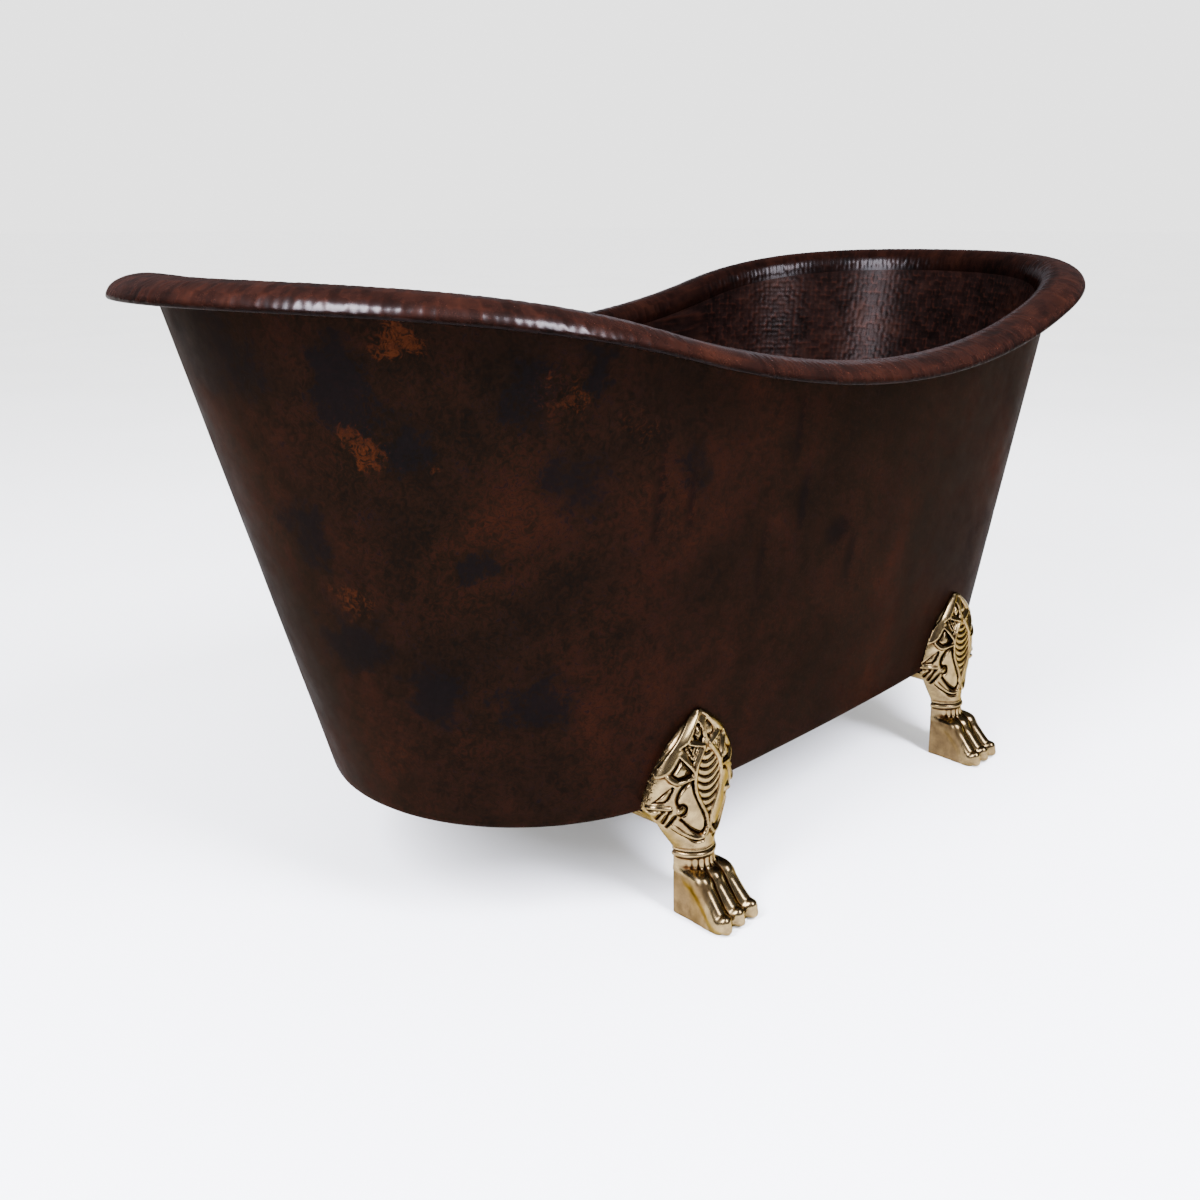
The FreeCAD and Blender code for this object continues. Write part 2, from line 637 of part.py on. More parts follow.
def outline_sketch(sketch, corners):
    """A closed outline through corners given by pairs of formulas."""
    points = [Vector(num(x), num(y), 0) for x, y in corners]
    lines = []
    for index, point in enumerate(points):
        lines.append(segment(sketch, point, points[(index + 1) % len(points)]))
    for index, line in enumerate(lines):
        tie(sketch, "Coincident", line, 2, lines[(index + 1) % len(lines)], 1)
    for line, (x, y) in zip(lines, corners):
        if x == "0":
            tie(sketch, "PointOnObject", line, 1, -2)
        else:
            dimension(sketch, x, "DistanceX", -1, 1, line, 1)
        if y == "0":
            tie(sketch, "PointOnObject", line, 1, -1)
        else:
            dimension(sketch, y, "DistanceY", -1, 1, line, 1)


def turned(label, corners):
    """A part of revolution about the drain's axis, from pairs of radius and height formulas."""
    body = doc.addObject("PartDesign::Body", label)
    sketch = new_sketch(body, f"{label}_outline", "XZ_Plane")
    outline_sketch(sketch, corners)
    spin = body.newObject("PartDesign::Revolution", f"{label}_turning")
    spin.Profile = sketch
    spin.ReferenceAxis = (sketch, ["V_Axis"])
    spin.Angle = 360
    doc.recompute()
    return body


def tube(label, inner, outer, low, high):
    """A plain turned ring."""
    return keep(turned(label, ((inner, low), (outer, low), (outer, high), (inner, high))), label)


SEAL_TOP = f"({BASIN_FLOOR} + Size.drain_seal_thickness)"
FLANGE_TOP = f"({SEAL_TOP} + Size.drain_flange_thickness)"
BODY_END = f"({SEAL_TOP} - Size.drain_body_length)"
SPIDER_TOP = f"({FLANGE_TOP} - Size.spider_depth)"
BOSS_END = f"({SPIDER_TOP} - Size.boss_height)"
FREE_BODY = "(Size.drain_body_radius + Size.weld_gap)"


def drain_body():
    """The drain flange and its threaded body, with a strainer cross and a boss for the stopper."""
    body = turned(
        "drain_body",
        (
            ("Size.drain_bore_radius", BODY_END),
            ("Size.drain_body_radius", BODY_END),
            ("Size.drain_body_radius", SEAL_TOP),
            ("Size.drain_flange_radius", SEAL_TOP),
            ("Size.drain_flange_radius", f"{SEAL_TOP} + Size.drain_flange_thickness / 2"),
            ("Size.drain_flange_radius - Size.drain_flange_thickness", FLANGE_TOP),
            ("Size.drain_bore_radius + Size.drain_flange_thickness / 2", FLANGE_TOP),
            ("Size.drain_bore_radius", f"{FLANGE_TOP} - Size.drain_flange_thickness"),
        ),
    )
    reach = "(Size.drain_bore_radius + Size.drain_body_radius) / 2"
    half = "Size.spider_bar_width / 2"
    for name, along, across in (("bar_one", reach, half), ("bar_two", half, reach)):
        sketch = new_sketch(body, f"strainer_{name}", "XY_Plane", SPIDER_TOP)
        rectangle(sketch, f"-({along})", along, f"-({across})", across)
        pad = body.newObject("PartDesign::Pad", f"strainer_{name}_pad")
        pad.Profile = sketch
        pad.Reversed = True
        bind(pad, "Length", "Size.spider_bar_height")
    boss = new_sketch(body, "strainer_boss", "XY_Plane", SPIDER_TOP)
    circle(boss, "Size.boss_radius")
    pad = body.newObject("PartDesign::Pad", "strainer_boss_pad")
    pad.Profile = boss
    pad.Reversed = True
    bind(pad, "Length", "Size.boss_height")
    hole = new_sketch(body, "strainer_hole", "XY_Plane", SPIDER_TOP)
    circle(hole, "Size.stem_radius + Size.weld_gap")
    through_cut(body, "strainer_bore", hole)
    keep(body, "drain_body")


def hexagon(name, radius, height, x, y, z):
    """A six-sided block standing on a height."""
    block = doc.addObject("Part::Prism", name)
    block.Polygon = 6
    bind(block, "Circumradius", radius)
    bind(block, "Height", height)
    place(block, x, y, z)
    return block


def cylinder(name, radius, height, x, y, z):
    """An upright cylinder standing on a height."""
    rod = doc.addObject("Part::Cylinder", name)
    bind(rod, "Radius", radius)
    bind(rod, "Height", height)
    place(rod, x, y, z)
    return rod


def cut(name, base, tool):
    """One object taken out of another."""
    result = doc.addObject("Part::Cut", name)
    result.Base = base
    result.Tool = tool
    return result


def drain():
    """The drain from the basin flange down to the tailpiece."""
    drain_body()
    seal_edge = "Size.drain_flange_radius - Size.drain_seal_thickness"
    tube("drain_flange_seal", FREE_BODY, seal_edge, BASIN_FLOOR, SEAL_TOP)
    tube("drain_spacer_sleeve", FREE_BODY, "Size.drain_sleeve_radius", LOWER_FLOOR, BASIN_BOTTOM)
    seal_low = "(Size.tub_bottom_height - Size.drain_seal_thickness)"
    washer_low = f"({seal_low} - Size.drain_washer_thickness)"
    nut_low = f"({washer_low} - Size.locknut_height)"
    tube("drain_lower_seal", FREE_BODY, "Size.locknut_radius", seal_low, "Size.tub_bottom_height")
    tube("drain_washer", FREE_BODY, "Size.locknut_radius", washer_low, seal_low)
    block = hexagon("locknut_block", "Size.locknut_radius", "Size.locknut_height", "0", "0", nut_low)
    thread = cylinder("locknut_bore", FREE_BODY, "Size.locknut_height", "0", "0", nut_low)
    keep(cut("drain_locknut", block, thread), "drain_locknut")
    socket = "(Size.drain_bore_radius - Size.weld_gap)"
    bore = f"({socket} - Size.tail_wall)"
    collar = f"({BODY_END} - Size.weld_gap)"
    tail = turned(
        "drain_tailpiece",
        (
            (bore, f"{BODY_END} - Size.tail_drop"),
            ("Size.tail_radius", f"{BODY_END} - Size.tail_drop"),
            ("Size.tail_radius", collar),
            (socket, collar),
            (socket, f"{BODY_END} + Size.tail_socket_depth"),
            (bore, f"{BODY_END} + Size.tail_socket_depth"),
        ),
    )
    keep(tail, "drain_tailpiece")


# Crown of the stopper cap from its edge inwards: radius and rise, each as a share.
CAP_CROWN_SHARES = ((0.8, 0.4), (0.6, 0.7), (0.4, 0.88), (0.2, 0.97))


def stopper():
    """The lifting stopper: crowned cap, seal, stem and the clip that ends its travel."""
    seal_low = f"({FLANGE_TOP} + Size.weld_gap)"
    cap_low = f"({seal_low} + Size.stopper_seal_thickness)"
    edge = f"({cap_low} + Size.stopper_edge_height)"
    crown = f"({edge} + Size.stopper_crown_rise)"
    cap = turned(
        "stopper_cap",
        (
            ("0", cap_low),
            ("Size.stopper_radius - Size.stopper_edge_height / 2", cap_low),
            ("Size.stopper_radius", f"{cap_low} + Size.stopper_edge_height / 2"),
            ("Size.stopper_radius - Size.stopper_edge_height / 2", edge),
        )
        + tuple(
            (f"Size.stopper_radius * {radius}", f"{edge} + Size.stopper_crown_rise * {rise}")
            for radius, rise in CAP_CROWN_SHARES
        )
        + (("0", crown),),
    )
    keep(cap, "stopper_cap")
    seal_inner = "Size.drain_bore_radius + Size.drain_flange_thickness"
    tube("stopper_seal", seal_inner, "Size.stopper_radius - Size.stopper_edge_height", seal_low, cap_low)
    clip_high = f"({BOSS_END} - Size.stopper_travel - Size.weld_gap)"
    stem_low = f"({clip_high} - 2 * Size.clip_thickness)"
    stem = turned(
        "stopper_stem",
        (("0", stem_low), ("Size.stem_radius", stem_low), ("Size.stem_radius", cap_low), ("0", cap_low)),
    )
    keep(stem, "stopper_stem")
    clip_low = f"({clip_high} - Size.clip_thickness)"
    tube("stopper_clip", "Size.stem_radius + Size.weld_gap / 3", "Size.clip_radius", clip_low, clip_high)


# Leg and leaf: height from ankle to tip, then half width, half depth and set-out, each as a share.
LEG_STATIONS_SHARES = (
    (-0.03, 0.385, 0.52, 0.31),
    (0.08, 0.43, 0.55, 0.28),
    (0.23, 0.72, 0.76, 0.06),
    (0.42, 1.0, 1.0, -0.17),
    (0.63, 0.9, 0.86, -0.06),
    (0.84, 0.61, 0.57, 0.1),
    (0.95, 0.3, 0.35, 0.16),
    (0.995, 0.08, 0.12, 0.22),
)
# Rounding of the ankle band's two edges, as a share of its height.
BAND_ROUNDING_SHARE = 0.42
# Side outline of the paw behind its toes: reach from the heel and height, each as a share.
PAW_OUTLINE_SHARES = ((0, 0), (0, 0.975), (0.49, 0.975), (0.6, 0.57), (0.78, 0.25), (0.78, 0))
# Toe from its root to the claw's point: way along the toe, height and radius, each as a share.
TOE_STATIONS_SHARES = (
    (0.36, 1.0, 0.8),
    (0.55, 0.78, 0.98),
    (0.7, 0.5, 1.0),
    (0.82, 0.29, 0.84),
    (0.9, 0.17, 0.9),
    (0.97, 0.1, 0.5),
    (1.0, 0.07, 0.18),
)


def out(distance):
    """Formula for a place some distance outboard of the near base edge."""
    return f"-(Size.wall_base_half_width + ({distance}))"


def ring(name, width, depth, x, y, z, turn=0, axis=ACROSS_LENGTH):
    """A closed ellipse round a point, level or turned about an axis."""
    curve = doc.addObject("Part::Ellipse", name)
    bind(curve, "MajorRadius", width)
    bind(curve, "MinorRadius", depth)
    curve.Placement = Placement(Vector(), Rotation(axis, turn))
    place(curve, x, y, z)
    return curve


def skin(name, sections):
    """A smooth solid through closed curves."""
    form = doc.addObject("Part::Loft", name)
    form.Sections = sections
    form.Solid = True
    form.Ruled = False
    return form


def tub_envelope(name, reach, low, high):
    """A solid block in the shape of the tub's outside, grown by some reach."""
    body = doc.addObject("PartDesign::Body", name)
    lower = full_oval(body, f"{name}_low", low, f"-({reach})")
    upper = full_oval(body, f"{name}_high", high, f"-({reach})")
    loft(body, f"{name}_block", "AdditiveLoft", lower, upper)
    doc.recompute()
    return body


FOOT_X = "-Size.foot_place"
LEAF_ROOF = "Size.leaf_tip_height + Size.cut_overrun"


def foot_leg():
    """The leg and its swelling leaf, from the ankle up to a pointed tip on the tub wall."""
    rise = "(Size.leaf_tip_height - Size.ankle_height)"
    sections = []
    for index, (way, width, depth, set_out) in enumerate(LEG_STATIONS_SHARES):
        sections.append(
            ring(
                f"leg_section_{index}",
                f"Size.leaf_half_width * {width}",
                f"Size.leaf_reach * {depth}",
                FOOT_X,
                out(f"Size.leaf_reach * {set_out}"),
                f"Size.ankle_height + {rise} * {way}",
            )
        )
    return skin("foot_leg", sections)


def foot_band():
    """The round-edged band about the ankle."""
    outline = ring(
        "band_outline",
        "Size.ankle_half_width + Size.ankle_band_reach",
        "Size.ankle_half_depth + Size.ankle_band_reach",
        FOOT_X,
        out("Size.ankle_set_out"),
        "Size.ankle_height - Size.ankle_band_height / 2",
        2 * QUARTER_TURN,
        UP,
    )
    hoop = doc.addObject("Part::Extrusion", "band_hoop")
    hoop.Base = outline
    hoop.DirMode = "Custom"
    hoop.Dir = UP
    hoop.Solid = True
    bind(hoop, "LengthFwd", "Size.ankle_band_height")
    doc.recompute()
    rounding = BAND_ROUNDING_SHARE * num("Size.ankle_band_height")
    band = doc.addObject("Part::Fillet", "ankle_band")
    band.Base = hoop
    level_edges = [i for i, edge in enumerate(hoop.Shape.Edges, start=1) if edge.isClosed()]
    band.Edges = [(index, rounding, rounding) for index in level_edges]
    return band


def foot_paw():
    """The wedge of the paw between heel, ankle and toes."""
    body = doc.addObject("PartDesign::Body", "paw_wedge")
    sketch = new_sketch(body, "paw_outline", "YZ_Plane")
    corners = []
    for reach, height in PAW_OUTLINE_SHARES:
        level = f"Size.ankle_height * {height}" if height else "0"
        corners.append((out(f"Size.toe_reach * {reach} - Size.heel_inset"), level))
    outline_sketch(sketch, corners)
    pad = body.newObject("PartDesign::Pad", "paw_pad")
    pad.Profile = sketch
    pad.SideType = "Symmetric"
    bind(pad, "Length", "2 * Size.paw_half_width")
    place(body, x=FOOT_X)
    doc.recompute()
    return body


def foot_toes():
    """Three toes, each with a knuckle and a claw."""
    toes = []
    for side in (-1, 0, 1):
        sections = []
        for index, (way, height, radius) in enumerate(TOE_STATIONS_SHARES):
            sections.append(
                ring(
                    f"toe_{side + 1}_section_{index}",
                    f"Size.toe_radius * {radius}",
                    f"Size.toe_radius * {radius}",
                    f"{FOOT_X} + Size.toe_pitch * {side}",
                    out(f"Size.toe_reach * {way} - Size.heel_inset"),
                    f"Size.toe_root_height * {height}",
                    QUARTER_TURN,
                )
            )
        toes.append(skin(f"toe_{side + 1}", sections))
    return toes


LUG_BOTTOM = "(Size.tub_bottom_height - Size.weld_gap - Size.lug_thickness)"


def foot_lug():
    """The lug that reaches under the tub and takes the foot bolts."""
    lug = doc.addObject("Part::Box", "foot_lug")
    bind(lug, "Length", "2 * Size.lug_half_width")
    bind(lug, "Width", "Size.lug_depth + Size.heel_inset")
    bind(lug, "Height", "Size.lug_thickness")
    place(
        lug,
        f"{FOOT_X} - Size.lug_half_width",
        out("-Size.heel_inset"),
        LUG_BOTTOM,
    )
    return lug


def block_below_floor():
    """A block under the floor that trims the sole flat."""
    block = doc.addObject("Part::Box", "below_floor")
    bind(block, "Length", "2 * (Size.lug_half_width + Size.cut_overrun)")
    bind(block, "Width", "2 * (Size.toe_reach + Size.cut_overrun)")
    bind(block, "Height", "Size.cut_overrun")
    place(
        block,
        f"{FOOT_X} - Size.lug_half_width - Size.cut_overrun",
        out("Size.toe_reach + Size.cut_overrun"),
        "-Size.cut_overrun",
    )
    return block


def block_behind_heel():
    """A block under the lug that trims the back of the foot flat, clear of the bolts."""
    block = doc.addObject("Part::Box", "behind_heel")
    side = "(Size.leaf_half_width + Size.cut_overrun)"
    bind(block, "Length", f"2 * {side}")
    bind(block, "Width", "Size.lug_depth + Size.leaf_reach")
    bind(block, "Height", LUG_BOTTOM)
    place(block, f"{FOOT_X} - {side}", out("-(Size.heel_inset + Size.weld_gap)"), "0")
    return block


def feet():
    """Four cast claw feet; three are mirror images of the near left one."""
    tub = tub_envelope("tub_block", "Size.weld_gap", "Size.tub_bottom_height - Size.weld_gap", LEAF_ROOF)
    casting = doc.addObject("Part::MultiFuse", "foot_casting")
    casting.Shapes = [foot_leg(), foot_band(), foot_paw(), foot_lug()] + foot_toes()
    trims = doc.addObject("Part::MultiFuse", "foot_trims")
    holes = []
    for index, side in enumerate(("-1", "1")):
        holes.append(
            cylinder(
                f"foot_bolt_hole_{index}",
                "Size.bolt_radius + Size.bolt_clearance",
                "Size.lug_thickness + Size.cut_overrun",
                f"{FOOT_X} + {side} * Size.bolt_pitch / 2",
                f"-{BOLT_LINE}",
                "Size.tub_bottom_height - Size.lug_thickness - Size.cut_overrun / 2",
            )
        )
    trims.Shapes = [tub, block_below_floor(), block_behind_heel()] + holes
    foot = keep(cut("claw_foot_front_left", casting, trims), "claw_foot_front_left")
    right = mirrored(foot, "claw_foot_front_right", ACROSS_LENGTH)
    mirrored(foot, "claw_foot_rear_left", ACROSS_WIDTH)
    mirrored(right, "claw_foot_rear_right", ACROSS_WIDTH)


WASHER_LOW = f"({LUG_BOTTOM} - Size.washer_thickness)"
HEAD_LOW = f"({WASHER_LOW} - Size.bolt_head_height)"
PLATE_TOP = f"({LOWER_FLOOR} + Size.plate_thickness)"
NUT_TOP = f"({PLATE_TOP} + Size.nut_height)"


def group(label, members):
    """Identical pieces kept together as one sub-part."""
    together = doc.addObject("Part::Compound", label)
    together.Links = members
    return keep(together, label)


def fastenings():
    """The bolts, washers, nuts and plates that hold the feet to the lower floor."""
    bolts = []
    washers = []
    nuts = []
    free = "Size.bolt_radius + Size.bolt_clearance"
    for index, (x, y) in enumerate(BOLT_SPOTS):
        corner = "Size.bolt_head_radius"
        head = hexagon(f"bolt_head_{index}", corner, "Size.bolt_head_height", x, y, HEAD_LOW)
        length = f"{NUT_TOP} + Size.bolt_overrun - {HEAD_LOW}"
        shank = cylinder(f"bolt_shank_{index}", "Size.bolt_radius", length, x, y, HEAD_LOW)
        bolt = doc.addObject("Part::Fuse", f"bolt_{index}")
        bolt.Base = head
        bolt.Tool = shank
        bolts.append(bolt)
        thin = "Size.washer_thickness"
        disc = cylinder(f"washer_disc_{index}", "Size.washer_radius", thin, x, y, WASHER_LOW)
        eye = cylinder(f"washer_eye_{index}", free, thin, x, y, WASHER_LOW)
        washers.append(cut(f"washer_{index}", disc, eye))
        block = hexagon(f"nut_block_{index}", corner, "Size.nut_height", x, y, PLATE_TOP)
        bore = cylinder(f"nut_bore_{index}", free, "Size.nut_height", x, y, PLATE_TOP)
        nuts.append(cut(f"nut_{index}", block, bore))
    group("foot_bolts", bolts)
    group("foot_bolt_washers", washers)
    group("foot_bolt_nuts", nuts)
    foot_plates(free)


def foot_plates(free):
    """A backing plate over each foot, inside the hollow between the floors."""
    plates = []
    for along in ("1", "-1"):
        for across in ("1", "-1"):
            name = f"foot_plate_{len(plates)}"
            slab = doc.addObject("Part::Box", f"{name}_slab")
            bind(slab, "Length", "2 * Size.plate_half_length")
            bind(slab, "Width", "2 * Size.plate_half_depth")
            bind(slab, "Height", "Size.plate_thickness")
            x = f"{along} * Size.foot_place"
            y = f"{across} * {BOLT_LINE}"
            place(slab, f"{x} - Size.plate_half_length", f"{y} - Size.plate_half_depth", LOWER_FLOOR)
            eyes = doc.addObject("Part::MultiFuse", f"{name}_eyes")
            holes = []
            for side in ("-1", "1"):
                spot = f"{x} + {side} * Size.bolt_pitch / 2"
                holes.append(cylinder(f"{name}_eye", free, "Size.plate_thickness", spot, y, LOWER_FLOOR))
            eyes.Shapes = holes
            plates.append(cut(name, slab, eyes))
    group("foot_plates", plates)


walls()
floors()
rim()
bearers()
drain()
stopper()
feet()
fastenings()
doc.recompute()

for obj in doc.Objects:
    if "Invalid" in obj.State or "Error" in obj.State:
        raise RuntimeError(f"{obj.Label} did not build: {obj.State}")
os.makedirs("parts", exist_ok=True)
for node in NODES:
    shape = node.Shape
    if shape.isNull() or not shape.isValid() or not shape.Solids:
        raise RuntimeError(f"{node.Label} has no sound solid")
    shape.exportStep(f"parts/{node.Label}.step")
    print(f"{node.Label}: {len(shape.Solids)} solid(s), volume {shape.Volume:.0f}")
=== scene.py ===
import json
import logging
import math
from dataclasses import dataclass, field
from enum import Enum
from typing import Sequence

import bmesh
import bpy
import numpy as np
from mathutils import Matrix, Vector


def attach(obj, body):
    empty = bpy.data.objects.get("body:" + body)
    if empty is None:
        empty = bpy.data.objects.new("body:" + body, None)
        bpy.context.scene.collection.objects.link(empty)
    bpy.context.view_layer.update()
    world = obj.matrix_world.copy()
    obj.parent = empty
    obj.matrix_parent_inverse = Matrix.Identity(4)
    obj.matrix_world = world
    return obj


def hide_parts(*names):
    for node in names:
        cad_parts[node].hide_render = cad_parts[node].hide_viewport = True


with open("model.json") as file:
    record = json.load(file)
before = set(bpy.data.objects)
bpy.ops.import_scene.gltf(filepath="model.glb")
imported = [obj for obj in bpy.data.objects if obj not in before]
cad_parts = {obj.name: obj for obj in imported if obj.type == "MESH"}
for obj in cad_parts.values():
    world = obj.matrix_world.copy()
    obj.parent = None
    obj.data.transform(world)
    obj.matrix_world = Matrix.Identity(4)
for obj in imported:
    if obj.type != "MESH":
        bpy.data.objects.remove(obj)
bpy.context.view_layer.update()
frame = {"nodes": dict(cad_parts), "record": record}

# Copper slipper bath on four cast brass claw feet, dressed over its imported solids.
# Shapes are written in millimetres and turned to metres when a mesh is made.

MM = 0.001
HALF_TURN = math.pi
QUARTER_TURN = math.pi / 2
FULL_TURN = 2 * math.pi
SEED = 7
SHARP_TURN = math.radians(62)
TINY = 1e-9
BELL_REACH = 3

# Sockets of a Mix node, whose names repeat for each kind of data.
FIRST_VALUE, SECOND_VALUE = 2, 3
FIRST_COLOUR, SECOND_COLOUR = 6, 7
MIXED_COLOUR = 2

logging.basicConfig(level=logging.INFO, format="%(message)s")
LOG = logging.getLogger("bath")


class Body(Enum):
    """Bodies that carry the new pieces."""

    TUB = "tub"


class Slot(Enum):
    """Finishes named in the record."""

    PATINA = "patina_copper"
    HAMMERED = "hammered_copper"
    CAST = "cast_brass"
    TURNED = "turned_brass"
    RUBBER = "rubber_seal"
    STEEL = "steel"


class End(Enum):
    """The two halves of the tub, by the direction along X that they face."""

    LEFT = -1
    RIGHT = 1


class Side(Enum):
    """The two long sides of the tub, by the direction along Y that they face."""

    FRONT = -1
    REAR = 1


def linear(code: str) -> tuple[float, float, float, float]:
    """Turn an sRGB hex colour into linear light.

    Args:
        code: Six hex digits, such as "7a4a2c".

    Returns:
        Linear red, green, blue and an alpha of one.
    """
    parts = [int(code[i:i + 2], 16) / 255 for i in (0, 2, 4)]
    light = [c / 12.92 if c <= 0.04045 else ((c + 0.055) / 1.055) ** 2.4 for c in parts]
    return (*light, 1.0)


def feed(tree: bpy.types.NodeTree, node: bpy.types.Node, links: dict) -> None:
    """Link a node's inputs or set them to plain values.

    Args:
        tree: Node tree that holds the node.
        node: The node to feed.
        links: Input socket name or number to an output socket or a plain value.
    """
    for socket, value in links.items():
        target = node.inputs[socket]
        if isinstance(value, bpy.types.NodeSocket):
            tree.links.new(value, target)
        else:
            target.default_value = value


def add_node(
    tree: bpy.types.NodeTree, kind: str, links: dict | None = None, **settings: object,
) -> bpy.types.Node:
    """Add one node, set it up and link it.

    Args:
        tree: Node tree that gets the node.
        kind: Blender's name of the node type.
        links: Input socket name or number to an output socket or a plain value.
        settings: Properties of the node itself.

    Returns:
        The new node.
    """
    node = tree.nodes.new(kind)
    for name, value in settings.items():
        setattr(node, name, value)
    feed(tree, node, links or {})
    return node


def ramp(node: bpy.types.Node, stops: Sequence[tuple[float, str]]) -> None:
    """Give a colour ramp its stops.

    Args:
        node: The colour ramp node.
        stops: Pairs of place and hex colour, in order.
    """
    elements = node.color_ramp.elements
    while len(elements) < len(stops):
        elements.new(1.0)
    for element, (place, code) in zip(elements, stops):
        element.position = place
        element.color = linear(code)


def per_metre(size_mm: float) -> float:
    """Texture scale that gives a pattern of some real size on object coordinates."""
    return 1.0 / (size_mm * MM)


def blank_material(name: str) -> tuple[bpy.types.Material, bpy.types.NodeTree, bpy.types.Node]:
    """Make a material that holds one Principled shader.

    Args:
        name: Name of the finish.

    Returns:
        The material, its node tree and the shader node.
    """
    material = bpy.data.materials.new(name)
    material.use_nodes = True
    tree = material.node_tree
    return material, tree, tree.nodes["Principled BSDF"]


@dataclass(frozen=True)
class Patch:
    """A soft-edged place on the tub: its middle and its reach along, across and up, in millimetres."""

    middle: tuple[float, float, float]
    reach: tuple[float, float, float]
    strength: float = 1.0
    solid_share: float = 0.25


def patch_mask(
    tree: bpy.types.NodeTree, place: bpy.types.NodeSocket, patches: Sequence[Patch],
) -> bpy.types.NodeSocket:
    """Nodes that hold a patch's strength in its middle and fall to zero at its edge.

    Args:
        tree: Node tree of the material.
        place: Object coordinates, in metres.
        patches: Places to mark.

    Returns:
        The mask's output socket.
    """
    mask = None
    for patch in patches:
        middle = [c * MM for c in patch.middle]
        reach = [r * MM for r in patch.reach]
        away = add_node(tree, "ShaderNodeVectorMath", {0: place, 1: middle}, operation="SUBTRACT")
        shares = add_node(tree, "ShaderNodeVectorMath", {0: away.outputs[0], 1: reach}, operation="DIVIDE")
        far = add_node(tree, "ShaderNodeVectorMath", {0: shares.outputs[0]}, operation="LENGTH")
        soft = add_node(tree, "ShaderNodeMapRange", {
            "Value": far.outputs["Value"],
            "From Min": 1.0,
            "From Max": patch.solid_share,
            "To Max": patch.strength,
        }, interpolation_type="SMOOTHSTEP").outputs[0]
        if mask is not None:
            soft = add_node(tree, "ShaderNodeMath", {0: mask, 1: soft}, operation="MAXIMUM").outputs[0]
        mask = soft
    return mask


